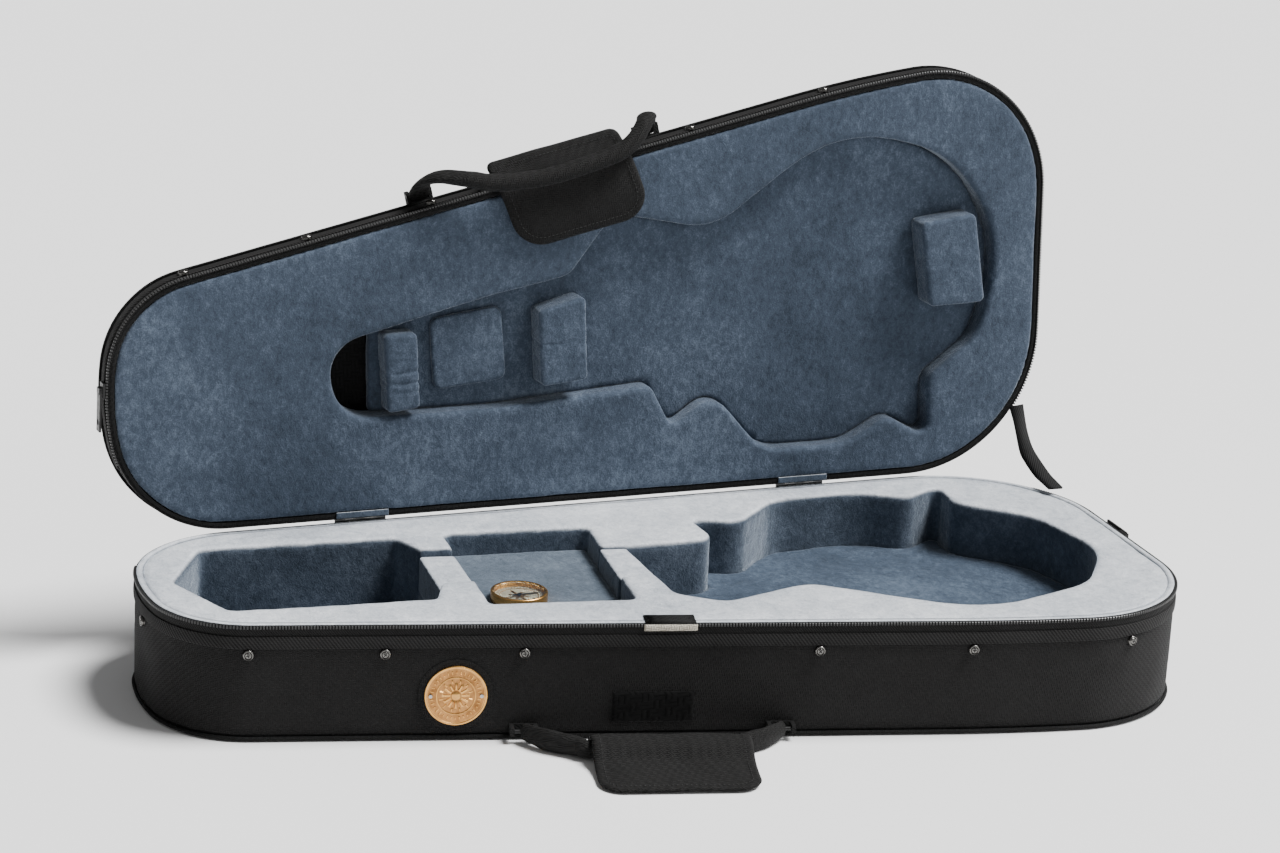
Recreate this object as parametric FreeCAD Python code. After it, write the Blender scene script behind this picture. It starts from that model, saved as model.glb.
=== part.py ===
import FreeCAD, Part
import math
import os

os.makedirs("parts", exist_ok=True)
V = FreeCAD.Vector

# ---- driving dimensions, mm ------------------------------------------------
# Plan frame: x along the hinge edge, y = 0 on the hinge edge, body towards -y.
CENTRE_X = 374.9          # plan point that becomes the row origin
CENTRE_Y = -163.5
RIM_Z = 92.0              # plush rim of the base
LID_GAP = 1.0             # gap between the two rims when shut
LID_DEPTH = 34.0          # rim to outer face of the lid
LID_OPEN = 93.2           # opening angle of the stored pose, degrees
HINGE_Y = 3.0             # hinge axis, behind the hinge edge
HINGE_Z = 97.4            # hinge axis height
WALL_OUT = 4.0            # outer face of the wooden wall, from the rim outline
WALL_IN = -3.0            # inner face of the wooden wall
COVER = 5.0               # outer face of the woven cover
FLOOR_TOP = 7.0           # top of the wooden floor
WELL_Z = 47.0             # floor of the body well
TRAY_Z = 74.0             # floor of the small tray under the neck
HEAD_Z = 32.0             # floor of the peghead well
SADDLE_L_Z = 86.0         # neck saddle beside the peghead well
SADDLE_R_Z = 90.0         # neck saddle beside the body well
SPLIT_HEAD = 214.0        # foam joint between peghead and tray sections
SPLIT_BODY = 357.0        # foam joint between tray and body sections
RECESS = 16.0             # depth of the hollow in the lid lining
TIP_HOLE = 191.0          # left of this the lid hollow goes down to the wood
PANEL_ROUND = 9.0         # rounding of the lid's outer edge
HANDLE_S = 348.0          # handles, patch and tab: distance along the front wall
HANDLE_SPAN = 194.0       # between handle pivots
MEDAL_S = 200.0
MEDAL_R = 23.5
DIAL_AT = (261.0, -149.0)
DIAL_R = 22.0
HINGES = (161.0, 540.0)   # left ends of the two hinges
HINGE_W = 42.0
KNUCKLE_R = 2.6
PIN_R = 1.2
LID_RIM = RIM_Z + LID_GAP
LID_TOP = LID_RIM + LID_DEPTH

RIM = [(0, 0), (768, 0), (761.5, -341), (599, -319.4), (-9, -179), (-18, -100)]
RIM_R = [87, 111, 97, 1100, 72, 190]

BODY_WELL = [(366, -101), (444, -101), (440, -55), (477, -69), (524, -26), (600, -25),
             (637, -46), (673, -26), (669, -66), (719, -112), (735, -196), (688, -262),
             (584, -294), (474, -208), (398, -231), (366, -205)]
BODY_WELL_R = [2, 15, 4, 22, 40, 60, 16, 5, 16, 50, 70, 60, 80, 34, 20, 14]

LID_WELL = [(150, -134), (291, -169), (352, -181), (388, -229), (474, -212), (584, -293),
            (688, -262), (734, -190), (716, -110), (671, -76), (675, -25), (637, -46),
            (600, -25), (524, -25), (480, -76), (444, -50), (424, -86), (290, -76), (163, -76)]
LID_WELL_R = [30, 40, 18, 26, 60, 120, 100, 100, 50, 16, 8, 16, 60, 40, 20, 8, 8, 200, 32]

HEAD_WELL = [(6, -93), (42, -31), (196, -41), (207, -70), (200, -144), (186, -174), (31, -161)]
HEAD_WELL_R = [10, 5, 4, 6, 20, 5, 8]
TRAY_WELL = [(236, -41), (352, -52), (332, -210), (223, -193)]
TRAY_WELL_R = [4, 4, 4, 4]


# ---- outline helpers -------------------------------------------------------
def shifted(points, off):
    """Vertices of the polygon with every edge moved outwards by off."""
    n = len(points)
    area = sum(points[i][0] * points[(i + 1) % n][1] - points[(i + 1) % n][0] * points[i][1]
               for i in range(n))
    side = 1.0 if area > 0 else -1.0
    lines = []
    for i in range(n):
        (ax, ay), (bx, by) = points[i], points[(i + 1) % n]
        size = math.hypot(bx - ax, by - ay)
        dx, dy = (bx - ax) / size, (by - ay) / size
        lines.append((ax + side * dy * off, ay - side * dx * off, dx, dy))
    out = []
    for i in range(n):
        px, py, dx, dy = lines[i - 1]
        qx, qy, ex, ey = lines[i]
        t = ((qx - px) * ey - (qy - py) * ex) / (dx * ey - dy * ex)
        out.append((px + dx * t, py + dy * t))
    return out, side


def outline(points, radii, z, off=0.0):
    """Closed wire: straight edges joined by tangent arcs."""
    pts, side = shifted(points, off)
    n = len(pts)
    corners = []
    for i in range(n):
        p = V(pts[i][0], pts[i][1], z)
        a = (V(pts[i - 1][0], pts[i - 1][1], z) - p).normalize()
        b = (V(pts[(i + 1) % n][0], pts[(i + 1) % n][1], z) - p).normalize()
        convex = side * (a.y * b.x - a.x * b.y) > 0
        r = max(radii[i] + (off if convex else -off), 0.4)
        half = a.getAngle(b) / 2
        run = r / math.tan(half)
        mid = (a + b).normalize()
        corners.append((p + a * run, p + mid * (r / math.sin(half) - r), p + b * run))
    edges = []
    for i in range(n):
        start, mid, end = corners[i]
        edges.append(Part.Arc(start, mid, end).toShape())
        nxt = corners[(i + 1) % n][0]
        if (nxt - end).Length > 0.01:
            edges.append(Part.makeLine(end, nxt))
    return Part.Wire(edges)


def prism(points, radii, z0, z1, off=0.0):
    return Part.Face(outline(points, radii, z0, off)).extrude(V(0, 0, z1 - z0))


def case(z0, z1, off):
    return prism(RIM, RIM_R, z0, z1, off)


def ring(z0, z1, outer, inner):
    return case(z0, z1, outer).cut(case(z0 - 1, z1 + 1, inner))


def box(x0, x1, y0, y1, z0, z1):
    return Part.makeBox(x1 - x0, y1 - y0, z1 - z0, V(x0, y0, z0))


def cut_all(shape, tools):
    for tool in tools:
        shape = shape.cut(tool)
    return shape


def edges_at(shape, z, keep=lambda e: True):
    """Edges lying flat at height z."""
    out = []
    for e in shape.Edges:
        b = e.BoundBox
        if abs(b.ZMin - z) < 0.01 and abs(b.ZMax - z) < 0.01 and keep(e):
            out.append(e)
    return out


def inside_rim(e, margin=-8.0):
    """True for an edge that is clear of the outer outline."""
    mid = e.valueAt((e.FirstParameter + e.LastParameter) / 2)
    face = Part.Face(outline(RIM, RIM_R, mid.z, margin))
    return face.isInside(mid, 0.01, True)


# ---- front wall frame: s along the wall, v outwards, z up ------------------
FRONT_A = V(-9, -179, 0)
FRONT_D = (V(599, -319.4, 0) - FRONT_A).normalize()
FRONT_N = V(FRONT_D.y, -FRONT_D.x, 0)


def on_front(s, v, z):
    return FRONT_A + FRONT_D * s + FRONT_N * v + V(0, 0, z)


def front_place(shape):
    """Moves a shape drawn as x = s, y = -v, z = z onto the front wall."""
    angle = math.degrees(math.atan2(FRONT_D.y, FRONT_D.x))
    shape.rotate(V(0, 0, 0), V(0, 0, 1), angle)
    shape.translate(FRONT_A)
    return shape


def front_box(s0, s1, v0, v1, z0, z1):
    return front_place(box(s0, s1, -v1, -v0, z0, z1))


def pipe(points, radius):
    """Round tube along a smooth curve through the points."""
    spine = Part.BSplineCurve()
    spine.interpolate(points)
    wire = Part.Wire(spine.toShape())
    start = spine.tangent(spine.FirstParameter)[0]
    circle = Part.Wire(Part.makeCircle(radius, points[0], start))
    return wire.makePipeShell([circle], True, True)


def sheet(profile, thick, s0, s1, corner):
    """Bent cloth pad: a (v, z) profile of some thickness, running from s0 to s1.

    The two corners at the profile's last end are rounded in plan."""
    outer = []
    inner = []
    for i, (v, z) in enumerate(profile):
        a = profile[max(i - 1, 0)]
        b = profile[min(i + 1, len(profile) - 1)]
        size = math.hypot(b[0] - a[0], b[1] - a[1])
        nv, nz = -(b[1] - a[1]) / size, (b[0] - a[0]) / size
        outer.append(V(s0, -(v + nv * thick / 2), z + nz * thick / 2))
        inner.append(V(s0, -(v - nv * thick / 2), z - nz * thick / 2))
    top = Part.BSplineCurve()
    top.interpolate(outer)
    low = Part.BSplineCurve()
    low.interpolate(inner)
    edges = [top.toShape(), Part.makeLine(outer[-1], inner[-1]),
             low.toShape(), Part.makeLine(inner[0], outer[0])]
    body = Part.Face(Part.Wire(Part.__sortEdges__(edges))).extrude(V(s1 - s0, 0, 0))
    near, far = -profile[0][0], -profile[-1][0]
    reach = 60 if near > far else -60
    plan = [(s0, far), (s1, far), (s1, near + reach), (s0, near + reach)]
    body = body.common(prism(plan, [corner, corner, 1, 1], -50, 300))
    return front_place(body)


NODES = {}


def base_node(name, shape):
    NODES[name] = shape


def lid_turn(shape):
    shape.rotate(V(0, HINGE_Y, HINGE_Z), V(1, 0, 0), -LID_OPEN)
    return shape


def lid_node(name, shape):
    """A piece drawn with the lid shut, stored with the lid open."""
    NODES[name] = lid_turn(shape)


# ---- base: box, cover and edge trims ---------------------------------------
shell = case(1.2, RIM_Z - 4, WALL_OUT)
shell = shell.makeFillet(3.0, edges_at(shell, 1.2)).cut(case(FLOOR_TOP, RIM_Z, WALL_IN))
base_node("base_shell", shell)
base_node("base_floor_panel", case(0, 1.2, WALL_OUT - 3.0))
base_node("base_cover", ring(5.4, RIM_Z - 9, COVER, WALL_OUT))


def welt(z, off, radius):
    """Round piping along the case outline."""
    path = outline(RIM, RIM_R, z, off)
    first = path.Edges[0]
    start = first.valueAt(first.FirstParameter)
    along = first.tangentAt(first.FirstParameter)
    circle = Part.Wire(Part.makeCircle(radius, start, along))
    return path.makePipeShell([circle], True, False)


base_node("base_piping", welt(2.6, WALL_OUT + 1.45, 1.5))

REAR = box(-100, 900, -48, 60, -10, 300)


def edge_trims(at):
    """Zip tape, coil, binding and rim band; at() places a height range."""
    tape = ring(*at(0.6, 9.0), COVER + 0.2, WALL_OUT).cut(REAR)
    coil = ring(*at(0.8, 3.2), COVER + 1.6, COVER + 0.2).cut(REAR)
    binding = ring(*at(9.0, 19.0), COVER + 1.2, COVER).cut(REAR)
    band = ring(*at(1.2, 4.0), WALL_OUT, 0.2)
    return tape, coil, binding, band


tape, coil, binding, band = edge_trims(lambda a, b: (RIM_Z - b, RIM_Z - a))
base_node("base_zip_tape", tape)
base_node("base_zip_coil", coil)
base_node("base_binding", binding)
base_node("base_rim_band", band)

# ---- base: padded sections, wells and saddles ------------------------------
SADDLE_L = [(206, -70), (234.3, -74), (228.3, -144), (199, -144)]
SADDLE_R = [(345.3, -97), (367, -100.5), (367, -163), (337, -163)]
block = case(FLOOR_TOP, RIM_Z - 4, WALL_IN - 0.2).fuse(case(RIM_Z - 4, RIM_Z, 0)).removeSplitter()
block = block.makeFillet(2.5, edges_at(block, RIM_Z))
slots = [prism(SADDLE_L, [2] * 4, RIM_Z - 34, RIM_Z + 1),
         prism(SADDLE_R, [2] * 4, RIM_Z - 34, RIM_Z + 1)]
SECTIONS = {
    "head": (-100, SPLIT_HEAD, HEAD_WELL, HEAD_WELL_R, HEAD_Z),
    "tray": (SPLIT_HEAD, SPLIT_BODY, TRAY_WELL, TRAY_WELL_R, TRAY_Z),
    "body": (SPLIT_BODY, 900, BODY_WELL, BODY_WELL_R, WELL_Z),
}
for name, (x0, x1, well, radii, floor) in SECTIONS.items():
    part = block.common(box(x0, x1, -500, 100, 0, 200))
    part = part.cut(prism(well, radii, FLOOR_TOP - 1, RIM_Z + 1))
    part = part.makeFillet(3.0, edges_at(part, RIM_Z, lambda e: inside_rim(e) and e.Length > 0.3
                                         and not (e.BoundBox.XLength < 0.01
                                                  and abs(e.BoundBox.XMin - x0) < 0.01)
                                         and not (e.BoundBox.XLength < 0.01
                                                  and abs(e.BoundBox.XMax - x1) < 0.01)))
    part = cut_all(part, slots)
    base_node(name + "_surround", part)
    pad = prism(well, radii, FLOOR_TOP, floor, -0.2).common(box(x0, x1, -500, 100, 0, 200))
    base_node(name + "_well_floor", cut_all(pad, slots))
for name, plan, top in (("saddle_left", SADDLE_L, SADDLE_L_Z), ("saddle_right", SADDLE_R, SADDLE_R_Z)):
    pad = prism(plan, [2] * 4, RIM_Z - 34, top, -0.1)
    base_node(name, pad.makeFillet(1.8, edges_at(pad, top)))

# ---- hygrometer in the tray ------------------------------------------------
DX, DY = DIAL_AT


def disc(radius, z0, z1):
    return Part.makeCylinder(radius, z1 - z0, V(DX, DY, z0))


cup = disc(DIAL_R, TRAY_Z + 0.05, TRAY_Z + 8)
cup = cup.makeFillet(1.0, edges_at(cup, TRAY_Z + 8))
base_node("hygrometer_case", cup.cut(disc(DIAL_R - 2.2, TRAY_Z + 2, TRAY_Z + 9)))
base_node("hygrometer_dial", disc(DIAL_R - 2.25, TRAY_Z + 2.05, TRAY_Z + 3))
base_node("hygrometer_glass", disc(DIAL_R - 2.25, TRAY_Z + 6, TRAY_Z + 7.2))
needle = disc(1.6, TRAY_Z + 3.3, TRAY_Z + 4.6)
needle = needle.fuse(box(DX - 6, DX + 15, DY - 0.6, DY + 0.6, TRAY_Z + 3.6, TRAY_Z + 4.2))
base_node("hygrometer_needle", needle)

# ---- front wall furniture --------------------------------------------------
def screw(s, z, off):
    """Cup washer and domed screw, standing out from the front wall."""
    profile = Part.makePolygon([V(0, 0, 0), V(4.1, 0, 0), V(3.7, 0, 1.0), V(2.7, 0, 1.2),
                                V(2.1, 0, 0.7), V(0.9, 0, 1.3), V(0, 0, 1.4), V(0, 0, 0)])
    body = Part.Face(profile).revolve(V(0, 0, 0), V(0, 0, 1), 360)
    body.rotate(V(0, 0, 0), V(1, 0, 0), 90)
    body.translate(V(s, -off, z))
    return body


SCREW_S = [47, 147, 250, 472, 590]
END_SCREWS = [(-40, -110), (700, -360), (800, -170)]
LID_END_SCREWS = [(800, -126), (800, -222)]


def on_case(x, y, z):
    """Nearest point of the cover, and the outward direction there."""
    at = outline(RIM, RIM_R, z, COVER).distToShape(Part.Vertex(x, y, z))[1][0][0]
    within = outline(RIM, RIM_R, z, 0).distToShape(Part.Vertex(at.x, at.y, z))[1][0][0]
    return at, (at - within).normalize()


def screws(z, ends, off, shift):
    out = [front_place(screw(s + shift, z, off)) for s in SCREW_S]
    for x, y in ends:
        at, away = on_case(x, y, z)
        one = screw(0, 0, off - COVER)
        one.rotate(V(0, 0, 0), V(0, 0, 1), math.degrees(math.atan2(away.y, away.x)) + 90)
        one.translate(at)
        out.append(one)
    return Part.makeCompound(out)


base_node("base_screws", screws(68.8, END_SCREWS, COVER + 0.02, 0))
lid_node("lid_screws", screws(LID_RIM + 12.5, LID_END_SCREWS, COVER + 1.22, 6))


def wall_disc(radius, s, z, v0, v1):
    return Part.makeCylinder(radius, v1 - v0, on_front(s, v0, z), FRONT_N)


base_node("medallion_backing", wall_disc(28.0, MEDAL_S, 36, COVER + 0.02, COVER + 1.0))
medal = wall_disc(MEDAL_R, MEDAL_S, 36, COVER + 1.05, COVER + 2.6)
medal = medal.fuse(wall_disc(MEDAL_R, MEDAL_S, 36, COVER + 2.6, COVER + 3.4).cut(
    wall_disc(MEDAL_R - 1.8, MEDAL_S, 36, COVER + 2.5, COVER + 3.5)))
medal = medal.fuse(wall_disc(13.0, MEDAL_S, 36, COVER + 2.6, COVER + 3.1).cut(
    wall_disc(12.0, MEDAL_S, 36, COVER + 2.5, COVER + 3.2)))
for k in range(12):
    leaf = front_box(MEDAL_S - 0.8, MEDAL_S + 0.8, COVER + 2.5, COVER + 3.0, 36 + 4, 36 + 10.5)
    leaf.rotate(on_front(MEDAL_S, 0, 36), FRONT_N, 30 * k)
    medal = medal.fuse(leaf)
base_node("medallion", medal.removeSplitter())
base_node("medallion_rivets", Part.makeCompound(
    [wall_disc(1.4, MEDAL_S + side * 19, 36, COVER + 2.65, COVER + 3.8) for side in (-1, 1)]))
base_node("hook_patch", front_box(HANDLE_S - 31, HANDLE_S + 31, COVER + 0.02, COVER + 1.6, 13, 37))
tab = front_box(HANDLE_S - 9, HANDLE_S + 29, -9, 0.4, RIM_Z + 0.05, RIM_Z + 0.7)
base_node("front_tab", tab)
base_node("tab_strip", front_box(HANDLE_S - 10, HANDLE_S + 30, COVER + 1.7, COVER + 2.7,
                                 RIM_Z - 6, RIM_Z - 1))

# ---- lid: shell, cover, trims ----------------------------------------------
def lid_solid(off, top, round_edge):
    body = case(LID_RIM, top, off)
    return body.makeFillet(round_edge, edges_at(body, top))


mortises = [box(x - 1, x + HINGE_W + 1, -1.0, 9, LID_RIM - 1, HINGE_Z + 4.1) for x in HINGES]
inner = lid_solid(WALL_OUT, LID_TOP - 1, PANEL_ROUND)
skin = lid_solid(COVER, LID_TOP, PANEL_ROUND + 1).cut(inner)
shell = inner.cut(case(LID_RIM - 1, LID_TOP - 7, WALL_IN))
shell = shell.cut(case(LID_RIM - 1, LID_RIM + 4, 20).cut(case(LID_RIM - 2, LID_RIM + 5, WALL_IN)))
lid_node("lid_shell", cut_all(shell, mortises))
side = skin.common(box(-100, 900, -500, 100, LID_RIM + 9, LID_TOP - 10))
rear = skin.common(box(-100, 900, -48, 100, LID_RIM + 0.6, LID_RIM + 9))
lid_node("lid_cover", cut_all(side.fuse(rear).removeSplitter(), mortises))
lid_node("lid_panel", skin.common(box(-100, 900, -500, 100, LID_TOP - 10, LID_TOP + 1)))
notches = [front_box(HANDLE_S + side * HANDLE_SPAN / 2 - 11, HANDLE_S + side * HANDLE_SPAN / 2 + 11,
                     COVER + 0.03, COVER + 4, LID_TOP - 14, LID_TOP - 4) for side in (-1, 1)]
lid_node("lid_piping", cut_all(welt(LID_TOP - 10.5, COVER + 1.15, 1.1), notches))
tape, coil, binding, band = edge_trims(lambda a, b: (LID_RIM + a, LID_RIM + b))
lid_node("lid_zip_tape", tape)
lid_node("lid_zip_coil", coil)
lid_node("lid_binding", binding)
lid_node("lid_rim_band", cut_all(band, mortises))

# ---- lid: padded lining ----------------------------------------------------
block = case(LID_RIM, LID_RIM + 4, 0).fuse(case(LID_RIM + 4, LID_TOP - 7.2, WALL_IN - 0.2))
block = block.removeSplitter()
block = block.makeFillet(2.5, edges_at(block, LID_RIM))
lining = block.cut(prism(LID_WELL, LID_WELL_R, LID_RIM - 1, LID_TOP))
lining = lining.makeFillet(4.0, edges_at(lining, LID_RIM, inside_rim))
lid_node("lid_lining", cut_all(lining, mortises))
pad = prism(LID_WELL, LID_WELL_R, LID_RIM + RECESS, LID_TOP - 7.2, -0.2)
lid_node("lid_recess_floor", pad.common(box(TIP_HOLE, 900, -500, 100, 0, 200)))


def lid_pad(name, plan, radius, face, soft):
    """Cushion on the lid lining, its face some way below (or above) the rim plane."""
    pad = prism(plan, [radius] * len(plan), LID_RIM + face, LID_RIM + RECESS - 0.05)
    lid_node(name, pad.makeFillet(soft, edges_at(pad, LID_RIM + face)))


lid_pad("neck_pad", [(197, -142.6), (224, -142.6), (228, -82), (201, -79)], 4, -3.0, 3)
lid_pad("pocket_pad", [(239, -150), (298, -158), (303, -98), (243, -92)], 7, 10.0, 2)
lid_pad("neck_block", [(324, -155), (363, -165), (367, -97), (328, -93)], 4, 0.2, 3)
lid_pad("end_block", [(655, -210), (704, -216), (716, -141), (666, -139)], 5, -9.0, 3)

# ---- hinges ----------------------------------------------------------------
def knuckle(x0, x1, bore):
    body = Part.makeCylinder(KNUCKLE_R, x1 - x0, V(x0, HINGE_Y, HINGE_Z), V(1, 0, 0))
    hole = Part.makeCylinder(bore, x1 - x0 + 2, V(x0 - 1, HINGE_Y, HINGE_Z), V(1, 0, 0))
    return body, hole


LEAF_Y0 = COVER + 0.05
LEAF_Y1 = COVER + 1.25
STEP = HINGE_W / 5
base_leaves = []
lid_leaves = []
for x in HINGES:
    lower = box(x, x + HINGE_W, LEAF_Y0, LEAF_Y1, 78, HINGE_Z - 4.2)
    upper = box(x, x + HINGE_W, LEAF_Y0, LEAF_Y1, HINGE_Z + 4.2, 115.2)
    for k in range(5):
        x0 = x + STEP * k + 0.15
        x1 = x + STEP * (k + 1) - 0.15
        if k % 2 == 0:
            body, hole = knuckle(x0, x1, PIN_R)
            strap = box(x0, x1, LEAF_Y0, LEAF_Y1, HINGE_Z - 4.3, HINGE_Z)
            lower = lower.fuse(body).fuse(strap).cut(hole)
        else:
            body, hole = knuckle(x0, x1, PIN_R + 0.06)
            strap = box(x0, x1, LEAF_Y0, LEAF_Y1, HINGE_Z, HINGE_Z + 4.3)
            upper = upper.fuse(body).fuse(strap).cut(hole)
    base_leaves.append(lower.removeSplitter())
    lid_leaves.append(upper.removeSplitter())
base_node("hinge_leaves_base", Part.makeCompound(base_leaves))
lid_node("hinge_leaves_lid", Part.makeCompound(lid_leaves))
base_node("hinge_pins", Part.makeCompound(
    [Part.makeCylinder(PIN_R, HINGE_W, V(x, HINGE_Y, HINGE_Z), V(1, 0, 0)) for x in HINGES]))
tabs = [box(x - 0.8, x + HINGE_W + 0.8, -0.8, HINGE_Y + 1.3, LID_RIM + 0.05, LID_RIM + 1.0)
        for x in HINGES]
lid_node("hinge_tabs", Part.makeCompound(tabs))

# ---- handles ---------------------------------------------------------------
PIVOT_V = 13.0
BASE_PIVOT_Z = 9.5
LID_PIVOT_Z = LID_TOP - 8.0
S0 = HANDLE_S - HANDLE_SPAN / 2
S1 = HANDLE_S + HANDLE_SPAN / 2


def anchors(z):
    """Sewn tabs with a short steel pin each, at both handle ends."""
    tabs = []
    for s in (S0, S1):
        for side in (-1, 1):
            ear = front_box(s + side * 9 - 1.5, s + side * 9 + 1.5, COVER + 0.05, PIVOT_V + 3,
                            z - 3.2, z + 3.2)
            hole = Part.makeCylinder(PIN_R + 0.3, 60, on_front(s - 30, PIVOT_V, z), FRONT_D)
            tabs.append(ear.cut(hole))
        tabs.append(front_box(s - 10.5, s + 10.5, COVER + 0.05, COVER + 1.8, z - 5, z + 3.2))
    pins = [Part.makeCylinder(PIN_R + 0.3, 21, on_front(s - 10.5, PIVOT_V, z), FRONT_D)
            for s in (S0, S1)]
    left = tabs[0].fuse(tabs[1]).fuse(tabs[2]).removeSplitter()
    right = tabs[3].fuse(tabs[4]).fuse(tabs[5]).removeSplitter()
    return Part.makeCompound([left, right]), Part.makeCompound(pins)


def eye(s, z):
    """Loop at the end of a handle, round its pin."""
    tube = Part.makeCylinder(3.6, 14, on_front(s - 7, PIVOT_V, z), FRONT_D)
    hole = Part.makeCylinder(PIN_R + 0.36, 20, on_front(s - 10, PIVOT_V, z), FRONT_D)
    return tube, hole


def grip(z, limb, bar):
    """Padded bar with its two limbs and end loops, in (s, v, z) offsets."""
    path = [on_front(S0 + a, v, h) for a, v, h in limb]
    path += [on_front(s, v, h) for s, v, h in bar]
    path += [on_front(S1 - a, v, h) for a, v, h in reversed(limb)]
    body = pipe(path, 5.5)
    for s in (S0, S1):
        tube, hole = eye(s, z)
        body = body.fuse(tube).cut(hole)
    return body.removeSplitter()


ears, pins = anchors(BASE_PIVOT_Z)
base_node("base_handle_anchors", ears)
base_node("base_handle_pins", pins)
z = BASE_PIVOT_Z
base_node("base_handle_grip", grip(
    z,
    [(0, PIVOT_V + 3.0, z - 0.2), (3, 26, z - 0.5), (16, 39, z - 1.0)],
    [(HANDLE_S - 50, 45, 8.0), (HANDLE_S, 46, 8.0), (HANDLE_S + 50, 45, 8.0)]))
base_node("base_handle_wrap", sheet(
    [(28, 3.0), (33, 11.0), (43, 16.8), (55, 14.0), (66, 7.0), (84, 3.6), (110, 3.0)],
    4.0, HANDLE_S - 52, HANDLE_S + 76 - 8, 20))

ears, pins = anchors(LID_PIVOT_Z)
lid_node("lid_handle_anchors", ears)
lid_node("lid_handle_pins", pins)
z = LID_PIVOT_Z
lid_node("lid_handle_grip", grip(
    z,
    [(0, PIVOT_V + 3.0, z - 1.0), (3, 27, LID_RIM + 14), (14, 26, LID_RIM - 4)],
    [(281, 23.5, 80), (304, 15, 78), (340, 9, 78), (374, 9, 78), (405, 11.5, 78), (421, 17.5, 80)]))
wrap = sheet(
    [(26, 102), (17, 95.5), (8, 90), (-2, 86.6), (-15, 85.6), (-30, 86), (-47, 88)],
    3.4, 310, 428, 22)
lid_node("lid_handle_wrap", wrap.cut(front_box(412, 440, 6, 40, 70, 130)))

# ---- lid stay: webbing strap -----------------------------------------------
def section(c, w, n, wide, thick):
    a, b = w * (wide / 2), n * (thick / 2)
    return Part.makePolygon([c - a - b, c + a - b, c + a + b, c - a + b, c - a - b])


lid_end = V(752.0, HINGE_Y - 7.0, 150.0)
stay = [
    (lid_end, V(0.3, 0.1, -0.95), V(1, 0, 0.3)),
    (V(757, -16, 138), V(0.5, 0.7, -0.5), V(0.8, -0.5, 0.2)),
    (V(759, -22, 118), V(0.5, 0.85, -0.2), V(0.85, -0.5, 0.0)),
    (V(761, -46, 101), V(0.6, 0.5, 0.6), V(0.8, -0.3, -0.5)),
    (V(760.5, -69, 97.5), V(-0.37, 0.93, 0), V(0.93, 0.37, 0)),
]
wires = []
for centre, wide_dir, normal in stay:
    w = V(wide_dir).normalize()
    n = V(normal)
    n = (n - w * n.dot(w)).normalize()
    wires.append(section(centre, w, n, 13, 1.4))
base_node("lid_stay", Part.makeLoft(wires, True, True))

# ---- zip sliders and pulls -------------------------------------------------
PULL_X = COVER + 5.4


def slider_with_pull(z0, z1, side, x, y):
    """Slider drawn at the origin facing +x, its pull lying along y to one side."""
    hole = Part.makeCylinder(0.9, 20, V(PULL_X, 0, z0 - 4), V(0, 0, 1))
    body = box(COVER + 1.9, COVER + 3.9, -6, 6, z0, z1)
    body = body.fuse(box(COVER + 3.9, COVER + 6.6, -2.2, 2.2, z0 + 0.8, z1 - 0.8)).cut(hole)
    tag = Part.makeCylinder(0.8, z1 - z0, V(PULL_X, 0, z0), V(0, 0, 1))
    for low in (z0, z1 - 0.7):
        tag = tag.fuse(box(PULL_X - 0.8, PULL_X + 0.8, min(0, side * 4), max(0, side * 4),
                           low, low + 0.7))
    plate = box(PULL_X - 0.8, PULL_X + 0.8, min(side * 3, side * 32), max(side * 3, side * 32),
                z0, z1)
    eyelet = Part.makeCylinder(2.4, 8, V(PULL_X - 4, side * 25, (z0 + z1) / 2), V(1, 0, 0))
    tag = tag.fuse(plate.cut(eyelet))
    at, away = on_case(x, y, 0)
    turn = math.degrees(math.atan2(away.y, away.x))
    for shape in (body, tag):
        shape.rotate(V(0, 0, 0), V(0, 0, 1), turn)
        shape.translate(at - away * COVER)
    return body.removeSplitter(), tag.removeSplitter()


body, tag = slider_with_pull(RIM_Z - 10, RIM_Z - 0.8, 1, 800, -165)
base_node("slider_right", body)
base_node("pull_right", tag)
body, tag = slider_with_pull(LID_RIM + 1.2, LID_RIM + 10.4, -1, -50, -112)
lid_node("slider_left", body)
lid_node("pull_left", tag)

# ---- write the parts -------------------------------------------------------
for name, shape in NODES.items():
    shape.translate(V(-CENTRE_X, -CENTRE_Y, 0))
    shape.exportStep("parts/" + name + ".step")
    print(name, len(shape.Solids), shape.isValid(), round(shape.Volume), shape.BoundBox)
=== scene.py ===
"""Looks of the shaped mandolin case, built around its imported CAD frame."""
import math

import bmesh
import bpy
from mathutils import Matrix, Vector, noise
from mathutils.geometry import delaunay_2d_cdt

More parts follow.
